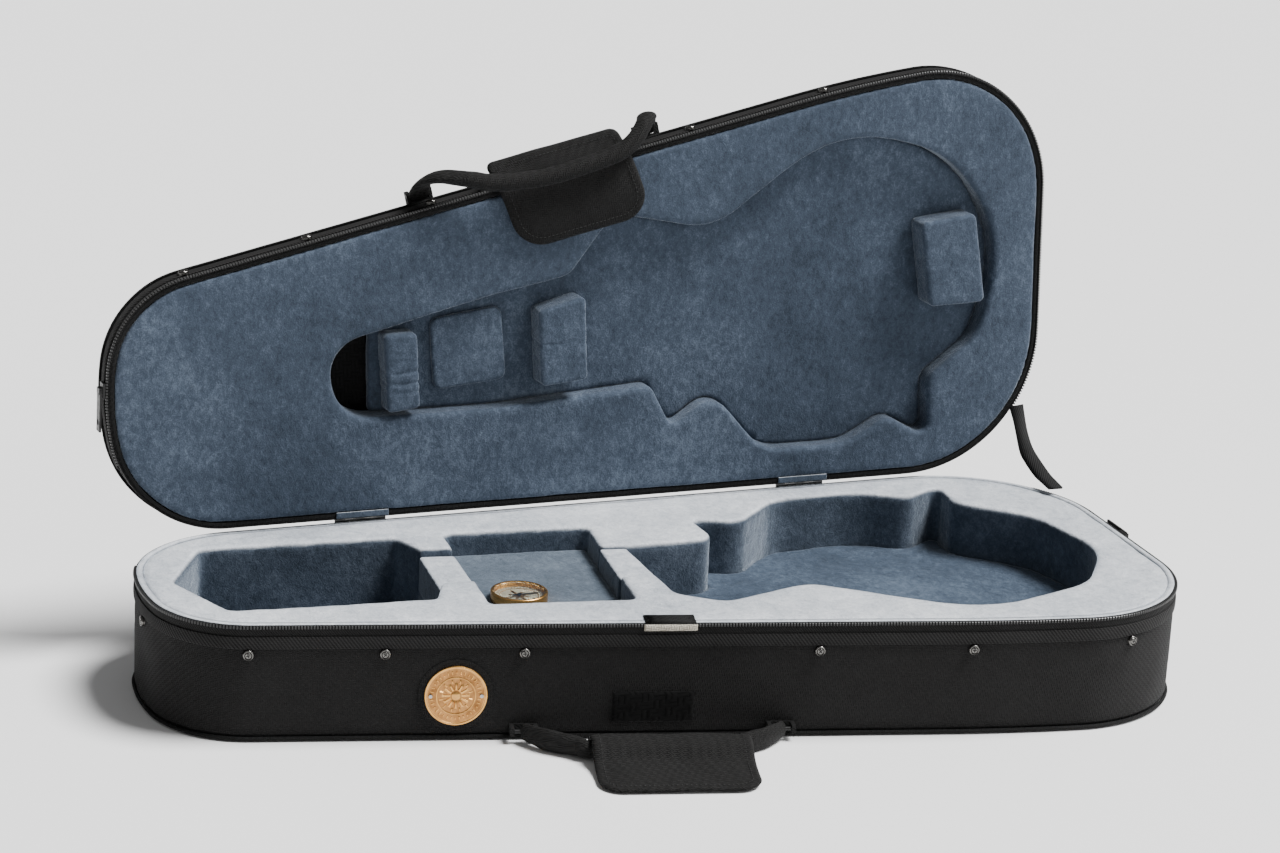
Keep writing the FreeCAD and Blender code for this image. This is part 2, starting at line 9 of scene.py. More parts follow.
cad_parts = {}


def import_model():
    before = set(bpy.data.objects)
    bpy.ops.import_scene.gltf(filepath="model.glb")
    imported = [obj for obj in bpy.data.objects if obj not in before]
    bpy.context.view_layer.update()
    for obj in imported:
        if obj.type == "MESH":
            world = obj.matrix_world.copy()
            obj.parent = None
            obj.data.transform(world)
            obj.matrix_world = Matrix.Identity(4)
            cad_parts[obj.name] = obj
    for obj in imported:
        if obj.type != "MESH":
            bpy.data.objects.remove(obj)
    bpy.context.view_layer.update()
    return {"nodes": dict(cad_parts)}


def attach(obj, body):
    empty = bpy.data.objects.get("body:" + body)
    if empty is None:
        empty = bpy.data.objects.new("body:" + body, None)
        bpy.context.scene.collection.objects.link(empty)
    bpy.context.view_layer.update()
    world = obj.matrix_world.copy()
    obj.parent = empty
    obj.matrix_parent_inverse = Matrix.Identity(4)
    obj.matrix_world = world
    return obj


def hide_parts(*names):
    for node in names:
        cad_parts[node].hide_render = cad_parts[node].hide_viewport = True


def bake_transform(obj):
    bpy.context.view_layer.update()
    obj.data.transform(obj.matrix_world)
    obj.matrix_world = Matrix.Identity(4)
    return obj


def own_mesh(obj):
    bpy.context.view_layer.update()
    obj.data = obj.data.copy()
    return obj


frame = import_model()
nodes = frame["nodes"]
MM = 0.001

# ---- the case's own frame: plan x along the hinge edge, y from the hinge edge -----
CENTRE = (374.9, -163.5)
RIM = [(0, 0), (768, 0), (761.5, -341), (599, -319.4), (-9, -179), (-18, -100)]
RIM_R = [87, 111, 97, 1100, 72, 190]
COVER_LOW = 5.4          # heights, mm, all drawn with the lid shut
BINDING_LOW = 73.0
COVER_TOP = 83.0
TAPE_TOP = 91.4
LID_TAPE_LOW = 93.6
LID_COVER_LOW = 102.0
LID_PANEL_LOW = 117.0
LID_TOP = 127.0
REAR_Y = -48.0           # the zip stops at this line near each rear corner
HINGE = (3.0, 97.4)
OPEN = math.radians(93.2)
FRONT_A = Vector((-9, -179))
FRONT_D = (Vector((599, -319.4)) - FRONT_A).normalized()
FRONT_N = Vector((FRONT_D.y, -FRONT_D.x))


def world(p):
    """Plan millimetres to metres in the row frame."""
    return Vector(((p[0] - CENTRE[0]) * MM, (p[1] - CENTRE[1]) * MM, p[2] * MM))


def lid_world(p):
    """The same for a point drawn with the lid shut, as the lid stands open."""
    dy, dz = p[1] - HINGE[0], p[2] - HINGE[1]
    y = dy * math.cos(OPEN) + dz * math.sin(OPEN) + HINGE[0]
    z = -dy * math.sin(OPEN) + dz * math.cos(OPEN) + HINGE[1]
    return world((p[0], y, z))


def front(s, v, z):
    p = FRONT_A + FRONT_D * s + FRONT_N * v
    return (p.x, p.y, z)


def outline(points, radii, off=0.0, step=4.0):
    """Points (x, y) round a polygon with rounded corners."""
    n = len(points)
    area = sum(points[i][0] * points[(i + 1) % n][1] - points[(i + 1) % n][0] * points[i][1]
               for i in range(n))
    side = 1.0 if area > 0 else -1.0
    lines = []
    for i in range(n):
        a, b = Vector(points[i]), Vector(points[(i + 1) % n])
        d = (b - a).normalized()
        lines.append((a + Vector((d.y, -d.x)) * side * off, d))
    pts = []
    for i in range(n):
        p, d = lines[i - 1]
        q, e = lines[i]
        t = ((q.x - p.x) * e.y - (q.y - p.y) * e.x) / (d.x * e.y - d.y * e.x)
        pts.append(p + d * t)
    out = []
    for i in range(n):
        p = pts[i]
        a = (pts[i - 1] - p).normalized()
        b = (pts[(i + 1) % n] - p).normalized()
        convex = side * (a.y * b.x - a.x * b.y) > 0
        r = max(radii[i] + (off if convex else -off), 0.4)
        half = a.angle(b) / 2
        run = r / math.tan(half)
        centre = p + (a + b).normalized() * (r / math.sin(half))
        start, end = p + a * run - centre, p + b * run - centre
        turn = start.angle_signed(end)
        count = max(2, int(abs(turn) * r / step) + 1, int(abs(turn) / 0.16) + 1)
        for k in range(count + 1):
            t = -turn * k / count
            c, s = math.cos(t), math.sin(t)
            out.append(centre + Vector((start.x * c - start.y * s, start.x * s + start.y * c)))
    dense = []
    for i, p in enumerate(out):
        q = out[(i + 1) % len(out)]
        m = max(1, int((q - p).length / (step * 2)))
        if (q - p).length < 0.05:
            continue
        for k in range(m):
            dense.append(p.lerp(q, k / m))
    return dense


# ---- node helpers ----------------------------------------------------------------
class Net:
    """A short way to write a shader's nodes."""

    def __init__(self, name):
        self.mat = bpy.data.materials.new(name)
        self.mat.use_nodes = True
        self.tree = self.mat.node_tree
        self.shader = self.tree.nodes["Principled BSDF"]
        self.coord = self.tree.nodes.new("ShaderNodeTexCoord")

    def node(self, kind, **inputs):
        made = self.tree.nodes.new("ShaderNode" + kind)
        for key, value in inputs.items():
            if hasattr(made, key) and key not in ("Scale",):
                setattr(made, key, value)
                continue
            socket = made.inputs[int(key[1:])] if key[:1] == "i" and key[1:].isdigit() else (
                made.inputs[key.replace("_", " ")])
            if isinstance(value, bpy.types.NodeSocket):
                self.tree.links.new(value, socket)
            else:
                socket.default_value = value
        return made

    def math(self, op, a, b=0.0):
        return self.node("Math", operation=op, i0=a, i1=b).outputs[0]

    def weighted(self, *pairs):
        """A sum of sockets, each times its weight."""
        total = None
        for socket, weight in pairs:
            term = self.math("MULTIPLY", socket, weight)
            total = term if total is None else self.math("ADD", total, term)
        return total

    def noise(self, scale, detail=2.0, rough=0.5, vector=None, distortion=0.0):
        made = self.node("TexNoise", Scale=scale, Detail=detail, Roughness=rough,
                         Distortion=distortion)
        self.tree.links.new(vector or self.coord.outputs["Object"], made.inputs["Vector"])
        return made.outputs["Fac"]

    def ramp(self, fac, *stops):
        made = self.tree.nodes.new("ShaderNodeValToRGB")
        ramp = made.color_ramp
        while len(ramp.elements) < len(stops):
            ramp.elements.new(0.5)
        for element, (at, colour) in zip(ramp.elements, stops):
            element.position = at
            element.color = (*colour, 1) if len(colour) == 3 else colour
        self.tree.links.new(fac, made.inputs[0])
        return made.outputs["Color"]

    def grey(self, fac, low, high, a=0.0, b=1.0):
        made = self.node("MapRange", Value=fac, From_Min=low, From_Max=high, To_Min=a, To_Max=b)
        return made.outputs[0]

    def mix(self, fac, a, b, mode="MIX"):
        made = self.tree.nodes.new("ShaderNodeMix")
        made.data_type = "RGBA"
        made.blend_type = mode
        for socket, value in ((made.inputs[0], fac), (made.inputs[6], a), (made.inputs[7], b)):
            if isinstance(value, bpy.types.NodeSocket):
                self.tree.links.new(value, socket)
            else:
                socket.default_value = value if not isinstance(value, tuple) else (*value, 1)
        return made.outputs[2]

    def bump(self, height, strength, distance):
        return self.node("Bump", Height=height, Strength=strength, Distance=distance).outputs[0]

    def set(self, **values):
        for key, value in values.items():
            socket = self.shader.inputs[key.replace("_", " ")]
            if isinstance(value, bpy.types.NodeSocket):
                self.tree.links.new(value, socket)
            elif isinstance(value, tuple) and len(value) == 3:
                socket.default_value = (*value, 1)
            else:
                socket.default_value = value
        return self.mat


def plush_material(name, dark, mid, pale, sheen=1.0, top=0.0):
    """Crushed pile: small dabs of nap lying different ways, soft patches and a fine fuzz; top > 0 paints a
    pale highlight onto up-facing faces.
    """
    n = Net(name)
    brushed = n.node("Mapping", Vector=n.coord.outputs["Object"])
    brushed.inputs["Scale"].default_value = (1.0, 0.8, 0.75)
    dabs = n.noise(210, 5, 0.72, vector=brushed.outputs[0], distortion=0.35)
    strokes = n.noise(55, 5, 0.7, vector=brushed.outputs[0], distortion=0.25)
    patches = n.noise(8, 3, 0.5)
    fuzz = n.noise(820, 3, 0.75)
    tone = n.weighted((dabs, 0.30), (strokes, 0.18), (patches, 0.26), (fuzz, 0.26))
    colour = n.ramp(tone, (0.385, dark), (0.5, mid), (0.615, pale))
    # painted highlight: with top, faces turned up are mixed towards a pale ramp, standing in for the sheen
    # and light falling on them from above
    if top:
        facing = n.node("SeparateXYZ", Vector=n.coord.outputs["Normal"])
        top_sheen_mask = n.grey(facing.outputs[2], 0.25, 0.85, 0.0, top)
        painted_top_sheen = n.ramp(tone, (0.385, (0.34, 0.37, 0.41)), (0.5, (0.58, 0.61, 0.65)),
                      (0.615, (0.84, 0.86, 0.88)))
        colour = n.mix(top_sheen_mask, colour, painted_top_sheen)
    height = n.weighted((dabs, 0.55), (fuzz, 0.28), (strokes, 0.6))
    rough = n.grey(strokes, 0.3, 0.7, 0.82, 0.95)
    n.set(Base_Color=colour, Roughness=rough, Normal=n.bump(height, 0.7, 0.0022))
    n.set(Sheen_Weight=sheen, Sheen_Roughness=0.30, Sheen_Tint=(0.78, 0.87, 0.97),
          Specular_IOR_Level=0.10)
    return n.mat


def weave_height(n, u, v, threads):
    """Plain weave: threads over and under, from two running coordinates in metres."""
    a = n.math("MULTIPLY", u, threads * math.pi)
    b = n.math("MULTIPLY", v, threads * math.pi)
    across = n.math("ABSOLUTE", n.math("SINE", a))
    along = n.math("ABSOLUTE", n.math("SINE", b))
    check = n.math("GREATER_THAN", n.math("MULTIPLY", n.math("SINE", n.math("MULTIPLY", a, 0.5)),
                                          n.math("SINE", n.math("MULTIPLY", b, 0.5))), 0.0)
    over = n.math("MULTIPLY", across, check)
    under = n.math("MULTIPLY", along, n.math("SUBTRACT", 1.0, check))
    return n.math("ADD", over, under)


def cloth_material(name, colour, light, threads=900.0, kind="plain", uv=True, rough=0.8,
                   wear=0.25):
    """Black synthetic cloth; kind is plain or twill; pieces with a UV map run true."""
    n = Net(name)
    source = n.coord.outputs["UV"] if uv else n.coord.outputs["Object"]
    parts = n.node("SeparateXYZ", Vector=source)
    if uv:
        u, v = parts.outputs[0], parts.outputs[1]
    else:
        u = n.math("ADD", parts.outputs[0], parts.outputs[1])
        v = n.math("ADD", parts.outputs[2], n.math("MULTIPLY", parts.outputs[1], 0.5))
    if kind == "twill":
        diag = n.math("ADD", n.math("MULTIPLY", u, threads), n.math("MULTIPLY", v, threads * 0.8))
        height = n.math("ABSOLUTE", n.math("SINE", n.math("MULTIPLY", diag, math.pi)))
        cross = n.math("SINE", n.math("MULTIPLY", v, threads * 4 * math.pi))
        height = n.math("ADD", height, n.math("MULTIPLY", cross, 0.18))
    else:
        height = weave_height(n, u, v, threads)
    lint = n.noise(1500, 3, 0.75)
    cloudy = n.noise(30, 4, 0.6)
    dust = n.noise(420, 3, 0.75)
    slubs = n.noise(380, 4, 0.7)
    share = 0.42 if kind == "twill" else 0.26
    tone = n.weighted((height, share), (lint, 0.28), (slubs, 0.72 - share - 0.14), (cloudy, 0.14))
    shade = n.ramp(tone, (0.34, tuple(c * 0.5 for c in colour)), (0.52, colour), (0.68, light))
    flecks = n.math("MULTIPLY", n.grey(dust, 0.66, 0.80, 0.0, 1.0), wear)
    shade = n.mix(flecks, shade, tuple(min(1, c * 2.6) for c in light))
    depth = n.weighted((height, 0.8), (lint, 0.25))
    n.set(Base_Color=shade, Roughness=n.grey(cloudy, 0.3, 0.7, rough - 0.08, rough + 0.08),
          Normal=n.bump(depth, 0.9, 0.0006), Sheen_Weight=0.03, Sheen_Roughness=0.4,
          Specular_IOR_Level=0.22)
    return n.mat


def metal_material(name, colour, rough, scratch=0.5, metallic=1.0, tarnish=None):
    n = Net(name)
    smear = n.noise(160, 4, 0.6)
    fine = n.noise(3200, 2, 0.6)
    tint = n.mix(n.grey(smear, 0.42, 0.75, 0.0, 0.7), colour, tarnish or tuple(c * 0.72 for c in colour))
    r = n.math("ADD", n.grey(smear, 0.3, 0.7, rough * 0.75, rough * 1.4),
               n.math("MULTIPLY", fine, 0.08))
    n.set(Base_Color=tint, Metallic=metallic, Roughness=r,
          Normal=n.bump(n.math("ADD", fine, n.math("MULTIPLY", smear, 0.4)), 0.12 * scratch, 0.0002))
    return n.mat


def plastic_material(name, colour, rough):
    n = Net(name)
    grain = n.noise(1800, 3, 0.6)
    cloud = n.noise(60, 3, 0.5)
    n.set(Base_Color=n.mix(n.grey(cloud, 0.35, 0.7), colour, tuple(c * 1.5 for c in colour)),
          Roughness=n.grey(grain, 0.3, 0.7, rough - 0.07, rough + 0.1),
          Normal=n.bump(grain, 0.15, 0.0002))
    return n.mat


DIAL = metal_material("dial_print", (0.80, 0.72, 0.52), 0.4, metallic=0.25)
PLUSH = plush_material("plush_slate", (0.030, 0.041, 0.058), (0.055, 0.073, 0.103),
                       (0.120, 0.153, 0.203), sheen=0.55)
# painted shade: a darker copy of the slate plush for the well floors, which lie in the wells' shade
PLUSH_FLOOR_SHADED = plush_material("plush_slate_floor_shaded", (0.022, 0.032, 0.048), (0.044, 0.062, 0.090),
                             (0.100, 0.132, 0.180), sheen=0.4)
# the deck's copy: top=0.9 paints its up-facing faces pale, a painted highlight for the light on them
PLUSH_DECK = plush_material("plush_slate_deck", (0.034, 0.046, 0.062), (0.066, 0.086, 0.116),
                            (0.130, 0.160, 0.205), top=0.9)
# painted light and shade: a copy of the slate plush at the brightness the tray floor shows, lighter than
# the lid lining and darker than the painted deck tops
PLUSH_TRAY_PAINTED_LIGHT = plush_material("plush_slate_tray_painted_light", (0.044, 0.060, 0.080), (0.088, 0.112, 0.142),
                            (0.170, 0.205, 0.248), sheen=0.7)
WOVEN = cloth_material("woven_nylon", (0.0034, 0.0032, 0.0032), (0.0150, 0.0142, 0.0140), 800)
WOVEN_OBJ = cloth_material("woven_nylon_small", (0.0034, 0.0032, 0.0032), (0.0150, 0.0142, 0.0140),
                           800, uv=False)
TWILL = cloth_material("twill_binding", (0.0028, 0.0027, 0.0027), (0.0190, 0.0182, 0.0180), 360,
                       "twill")
TAPE = cloth_material("zip_tape", (0.0026, 0.0026, 0.0026), (0.0150, 0.0145, 0.0145), 520, "twill")
TRIM_UV = cloth_material("piping_cloth", (0.0026, 0.0026, 0.0026), (0.0085, 0.0085, 0.0085), 800)
WEBBING = cloth_material("webbing", (0.0028, 0.0028, 0.0028), (0.011, 0.011, 0.011), 420, "twill",
                         uv=False)
WEBBING_UV = cloth_material("webbing_strap", (0.0028, 0.0028, 0.0028), (0.011, 0.011, 0.011), 420,
                            "twill")
PAD_CLOTH = cloth_material("padded_cloth", (0.0034, 0.0033, 0.0032), (0.0130, 0.0125, 0.0120), 620,
                           uv=False, wear=0.45)
FUZZ = cloth_material("hook_loops", (0.0012, 0.0012, 0.0012), (0.0045, 0.0045, 0.0045), 300,
                      uv=False, rough=0.95, wear=0.1)
THREAD = plastic_material("sewing_thread", (0.010, 0.010, 0.010), 0.6)
CREAM = cloth_material("cream_tape", (0.42, 0.385, 0.32), (0.66, 0.62, 0.54), 700, uv=False, wear=0.0)
BRASS = metal_material("brass", (0.72, 0.40, 0.13), 0.24, tarnish=(0.50, 0.24, 0.07))
FIELD = metal_material("brass_field", (0.50, 0.25, 0.09), 0.42, scratch=2.5,
                       tarnish=(0.32, 0.15, 0.05))
NICKEL = metal_material("nickel", (0.42, 0.41, 0.39), 0.20)
SCREW_METAL = metal_material("screw_nickel", (0.15, 0.146, 0.138), 0.16)
# painted shade: near-black metal laid in the screws' gap and cross slots, where shade falls
SCREW_SHADE_METAL = metal_material("screw_gap_painted_shade", (0.03, 0.03, 0.03), 0.4)
BLACK_METAL = metal_material("black_enamel", (0.02, 0.02, 0.02), 0.35, metallic=0.6)
COIL = plastic_material("coil_nylon", (0.022, 0.022, 0.022), 0.32)
BLACK_BOARD = cloth_material("black_board", (0.002, 0.002, 0.002), (0.005, 0.005, 0.005), 300, uv=False)


def paint(obj, material):
    obj.data.materials.clear()
    obj.data.materials.append(material)
    return obj


def new_object(name, verts, faces, material, smooth=True):
    me = bpy.data.meshes.new(name)
    me.from_pydata([tuple(v) for v in verts], [], faces)
    me.update()
    obj = bpy.data.objects.new(name, me)
    bpy.context.scene.collection.objects.link(obj)
    me.materials.append(material)
    if smooth:
        me.shade_smooth()
    return obj


def fix_normals(obj):
    """Turns every face outward."""
    bm = bmesh.new()
    bm.from_mesh(obj.data)
    bmesh.ops.recalc_face_normals(bm, faces=bm.faces)
    bm.to_mesh(obj.data)
    bm.free()
    return obj


def unwrap(obj, uvs):
    """Gives each vertex its running coordinates in metres, for the weave."""
    layer = obj.data.uv_layers.new(name="weave")
    for poly in obj.data.polygons:
        for loop, v in zip(poly.loop_indices, poly.vertices):
            layer.data[loop].uv = uvs[v]


def apply_all(obj):
    """Turns an object's modifiers into its mesh."""
    graph = bpy.context.evaluated_depsgraph_get()
    made = bpy.data.meshes.new_from_object(obj.evaluated_get(graph))
    obj.modifiers.clear()
    obj.data = made
    return obj


for node, material in {
    "base_shell": BLACK_BOARD, "lid_shell": BLACK_BOARD, "base_floor_panel": WOVEN_OBJ,
    "medallion_rivets": NICKEL, "hinge_leaves_base": NICKEL, "hinge_leaves_lid": NICKEL,
    "hinge_pins": NICKEL, "base_handle_pins": BLACK_METAL, "lid_handle_pins": BLACK_METAL,
    "hygrometer_case": BRASS, "hygrometer_needle": BLACK_METAL, "slider_right": BLACK_METAL,
    "pull_right": BLACK_METAL, "slider_left": BLACK_METAL, "pull_left": BLACK_METAL,
    "base_handle_anchors": WEBBING, "lid_handle_anchors": WEBBING, "medallion": BRASS,
    "base_screws": NICKEL, "lid_screws": NICKEL, "medallion_backing": WOVEN_OBJ,
    "hygrometer_dial": DIAL,
}.items():
    paint(nodes[node], material)
glass = Net("window_glass")
glass.set(Base_Color=(0.95, 0.98, 1.0), Roughness=0.03, Transmission_Weight=1.0, IOR=1.45)
paint(nodes["hygrometer_glass"], glass.mat)


def belongs(obj, body, *replaced, slot=None):
    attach(obj, body)
    if replaced:
        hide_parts(*replaced)
    return obj


# ---- the plush sections, wells and cushions -----------------------------------------
LID_OUT = Vector((0, -math.sin(OPEN), -math.cos(OPEN)))


def soft_copy(name, sources, material, voxel, smooth, drop=(), crush=0.6, seed=0, raised=0.0,
              creases=()):
    """A padded piece from CAD blocks: joined, remeshed, relaxed and slightly uneven."""
    bm = bmesh.new()
    for source in sources:
        bm.from_mesh(nodes[source].data)
    if raised:
        depth = [v.co.dot(LID_OUT) for v in bm.verts]
        middle = (min(depth) + max(depth)) / 2
        for v in bm.verts:
            if v.co.dot(LID_OUT) > middle:
                v.co += LID_OUT * raised * MM
    inner = [f for f in bm.faces
             if any(all(abs(v.co.x - cut) < 2e-5 for v in f.verts) for cut in drop)]
    bmesh.ops.delete(bm, geom=inner, context="FACES")
    me = bpy.data.meshes.new(name)
    bm.to_mesh(me)
    bm.free()
    obj = bpy.data.objects.new(name, me)
    bpy.context.scene.collection.objects.link(obj)
    remesh = obj.modifiers.new("remesh", "REMESH")
    remesh.mode = "VOXEL"
    remesh.voxel_size = voxel * MM
    remesh.adaptivity = 0.0
    relax = obj.modifiers.new("relax", "SMOOTH")
    relax.factor = 0.5
    relax.iterations = smooth
    apply_all(obj)
    me = obj.data
    normals = [v.normal.copy() for v in me.vertices]
    shift = Vector((seed * 3.7, seed * 1.3, 0))
    for v, normal in zip(me.vertices, normals):
        p = v.co + shift
        bulge = noise.noise(p * 22) * 0.7 + noise.noise(p * 75) * 0.3
        pinch = 0.0
        for height, reach, depth in creases:
            bend = height + 0.0025 * noise.noise(Vector((p.x * 60, 0, height * 50)))
            near = (v.co.z - bend) / 0.0016
            along = noise.noise(Vector((p.x * 45, height * 90, 1.7))) + reach
            pinch += depth * math.exp(-near * near) * min(max(along, 0.0), 1.0)
        v.co += normal * (bulge * crush - pinch) * MM
    me.materials.clear()
    me.materials.append(material)
    me.shade_smooth()
    return obj


SPLITS = ((214.0 - CENTRE[0]) * MM, (357.0 - CENTRE[0]) * MM)
deck = soft_copy("plush_deck", ("head_surround", "tray_surround", "body_surround"), PLUSH_DECK,
                 2.4, 5, drop=SPLITS, crush=0.7)
belongs(deck, "base", "head_surround", "tray_surround", "body_surround",
                  slot="plush")
for name, node, body, material, voxel, smooth, crush, fill in (
        ("head_floor_pad", "head_well_floor", "base", PLUSH_FLOOR_SHADED, 2.6, 2, 0.8, 0.9),
        ("tray_floor_pad", "tray_well_floor", "base", PLUSH_TRAY_PAINTED_LIGHT, 2.6, 2, 0.6, 0.9),
        ("body_floor_pad", "body_well_floor", "base", PLUSH_FLOOR_SHADED, 2.6, 2, 1.0, 0.9),
        ("saddle_left_pad", "saddle_left", "base", PLUSH_DECK, 1.3, 5, 0.7, 0.9),
        ("saddle_right_pad", "saddle_right", "base", PLUSH_DECK, 1.3, 5, 0.7, 0.9),
        ("lid_lining_pad", "lid_lining", "lid", PLUSH, 2.0, 2, 0.7, 1.0),
        ("lid_recess_pad", "lid_recess_floor", "lid", PLUSH, 2.4, 2, 0.9, 0.9),
        ("pocket_cushion", "pocket_pad", "lid", PLUSH, 1.2, 3, 0.6, 0.8),
        ("hinge_tab_pads", "hinge_tabs", "lid", PLUSH_DECK, 0.6, 2, 0.2, 0.5)):
    pad = soft_copy(name, (node,), material, voxel, smooth, crush=crush, seed=len(name))
    belongs(pad, body, node, slot="plush")


for name, node, raised, creases in (
        ("neck_cushion", "neck_pad", 1.0, ((0.196, 0.5, 0.9), (0.204, 0.7, 1.3), (0.213, 0.7, 1.2),
                                           (0.221, 0.4, 0.8))),
        ("neck_block_cushion", "neck_block", 7.0, ((0.215, 0.1, 0.9), (0.229, 0.4, 1.1))),
        ("end_block_cushion", "end_block", 0.0, ((0.275, 0.1, 0.6),))):
    pad = soft_copy(name, (node,), PLUSH, 1.2, 3, crush=0.8, seed=len(name), raised=raised,
                    creases=creases)
    belongs(pad, "lid", node, slot="plush")
    if node == "neck_block":
        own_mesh(pad)


# ---- cloth, tape, binding and piping round the walls ---------------------------------
def rim_path(step=3.0):
    """Points of the case outline with outward directions and running length, mm."""
    pts = outline(RIM, RIM_R, 0.0, step)
    n = len(pts)
    path, run = [], 0.0
    for i, p in enumerate(pts):
        t = (pts[(i + 1) % n] - pts[i - 1]).normalized()
        path.append((p, Vector((-t.y, t.x)), run))
        run += (pts[(i + 1) % n] - p).length
    if sum((p.x - 375) * m.x + (p.y + 163) * m.y for p, m, _ in path) < 0:
        path = [(p, -m, r) for p, m, r in path]
    return path, run


PATH, AROUND = rim_path()


def front_run():
    """The path from one rear corner round the front to the other, in order."""
    n = len(PATH)
    start = next(i for i in range(n) if PATH[i][0].y < REAR_Y <= PATH[i - 1][0].y)
    out = []
    for k in range(n):
        i = (start + k) % n
        if PATH[i][0].y >= REAR_Y:
            break
        out.append(i)
    return out


RUN = front_run()


def band(name, profile, material, place, whole, wobble):
    """Sweeps a (offset, z) profile round the case; UVs run true in metres."""
    ids = list(range(len(PATH))) if whole else RUN
    verts, uvs = [], []
    lengths = [0.0]
    for a, b in zip(profile, profile[1:] + profile[:1]):
        lengths.append(lengths[-1] + math.hypot(b[0] - a[0], b[1] - a[1]))
    base = PATH[ids[0]][2]
    for i in ids:
        p, m, run = PATH[i]
        for k, (off, z) in enumerate(profile):
            q = p + m * off
            w = Vector((q.x, q.y, z))
            if wobble:
                push = noise.noise(Vector((run * 0.045, z * 0.12, k * 0.01))) * wobble
                q = p + m * (off + push)
                w = Vector((q.x, q.y, z + push * 0.3))
            verts.append(place(w))
            uvs.append(((run - base) % AROUND, lengths[k]))
    k = len(profile)
    faces = []
    pairs = list(zip(range(len(ids)), list(range(1, len(ids))) + [0]))
    if not whole:
        pairs = pairs[:-1]
    for a, b in pairs:
        for j in range(k):
            c = (j + 1) % k
            faces.append((a * k + j, b * k + j, b * k + c, a * k + c))
    if not whole:
        faces.append(tuple(range(k))[::-1])
        faces.append(tuple(range((len(ids) - 1) * k, len(ids) * k)))
    obj = new_object(name, verts, faces, material)
    layer = obj.data.uv_layers.new(name="weave")
    for poly in obj.data.polygons:
        us = [uvs[v][0] for v in poly.vertices]
        low = min(us)
        for loop, v in zip(poly.loop_indices, poly.vertices):
            u, t = uvs[v]
            if u - low > AROUND / 2:
                u -= AROUND
            if poly.index >= len(pairs) * k:
                layer.data[loop].uv = (0, 0)
                continue
            top = lengths[k] if v % k == 0 and (poly.vertices[0] % k == k - 1
                                                or poly.vertices[1] % k == k - 1) else t
            layer.data[loop].uv = (u * MM, top * MM)
    return fix_normals(obj)


def slab(off_in, off_out, z0, z1, rows=6, bulge=0.0, round_=0.6):
    """A thin wall band: inner face, rounded edges and a slightly crowned outer face."""
    out = [(off_in, z0), (off_in, z1)]
    r = min(round_, (z1 - z0) / 3, (off_out - off_in) * 0.9)
    out += [(off_out - r, z1), (off_out - r * 0.3, z1 - r * 0.3)]
    for k in range(rows + 1):
        t = k / rows
        z = z1 - r + (z0 + r - z1 + r) * t
        out.append((off_out + bulge * math.sin(math.pi * t), z))
    out += [(off_out - r * 0.3, z0 + r * 0.3), (off_out - r, z0)]
    return out


def circle(off, z, r, count=10):
    return [(off + r * math.cos(2 * math.pi * k / count),
             z + r * math.sin(2 * math.pi * k / count)) for k in range(count)]


WALL_BANDS = (
    # piece, node, body, slot, profile, material, whole way round, unevenness
    ("base_cover_cloth", "base_cover", "base", "woven_cover",
     slab(4.0, 5.0, COVER_LOW, COVER_TOP, 16, 0.15, 0.8), WOVEN, True, 0.22),
    ("base_piping_cord", "base_piping", "base", "black_trim", circle(5.45, 2.6, 1.5), TRIM_UV, True, 0.12),
    ("base_binding_tape", "base_binding", "base", "twill_tape",
     slab(5.0, 6.2, BINDING_LOW, COVER_TOP, 6, 0.25, 0.7), TWILL, False, 0.18),
    ("base_zip_tape_cloth", "base_zip_tape", "base", "twill_tape",
     slab(4.0, 5.2, COVER_TOP, TAPE_TOP, 5, 0.1, 0.5), TAPE, False, 0.1),
    ("base_rim_roll", "base_rim_band", "base", "plush",
     slab(-0.6, 4.4, 87.6, 91.9, 4, 0.35, 1.8), PLUSH_DECK, True, 0.25),
    ("base_rear_facing", None, "base", "woven_cover",
     slab(4.0, 5.0, COVER_TOP + 0.05, TAPE_TOP, 4, 0.1, 0.6), WOVEN, True, 0.1),
    ("lid_cover_cloth", "lid_cover", "lid", "woven_cover",
     slab(4.0, 5.0, LID_COVER_LOW, LID_PANEL_LOW, 6, 0.2, 0.5), WOVEN, True, 0.2),
    ("lid_rear_facing", None, "lid", "woven_cover",
     slab(4.0, 5.0, LID_TAPE_LOW, LID_COVER_LOW - 0.05, 4, 0.1, 0.6), WOVEN, True, 0.1),
    ("lid_piping_cord", "lid_piping", "lid", "black_trim", circle(6.15, 116.5, 1.1), TRIM_UV, True, 0.1),
    ("lid_binding_tape", "lid_binding", "lid", "twill_tape",
     slab(5.0, 6.2, LID_COVER_LOW, 112, 6, 0.25, 0.7), TWILL, False, 0.18),
    ("lid_zip_tape_cloth", "lid_zip_tape", "lid", "twill_tape",
     slab(4.0, 5.2, LID_TAPE_LOW, LID_COVER_LOW, 5, 0.1, 0.5), TAPE, False, 0.1),
    ("lid_rim_band_cloth", "lid_rim_band", "lid", "black_trim",
     slab(0.2, 4.0, 94.2, 97, 3, 0.3, 0.8), TRIM_UV, True, 0.15))
for piece, node, body, slot, profile, material, whole, wobble in WALL_BANDS:
    place = world if body == "base" else lid_world
    made = band(piece, profile, material, place, whole, wobble)
    belongs(made, body, *([node] if node else []), slot=slot)


def at_run(distance):
    """Position and outward direction at a distance along the path."""
    distance %= AROUND
    low, high = 0, len(PATH) - 1
    while low < high:
        mid = (low + high + 1) // 2
        if PATH[mid][2] <= distance:
            low = mid
        else:
            high = mid - 1
    p, m, r = PATH[low]
    q, n, s = PATH[(low + 1) % len(PATH)]
    s = s if s > r else AROUND
    t = (distance - r) / max(s - r, 1e-6)
    return p.lerp(q, t), m.lerp(n, t).normalized()


TOOTH_PITCH = 2.3


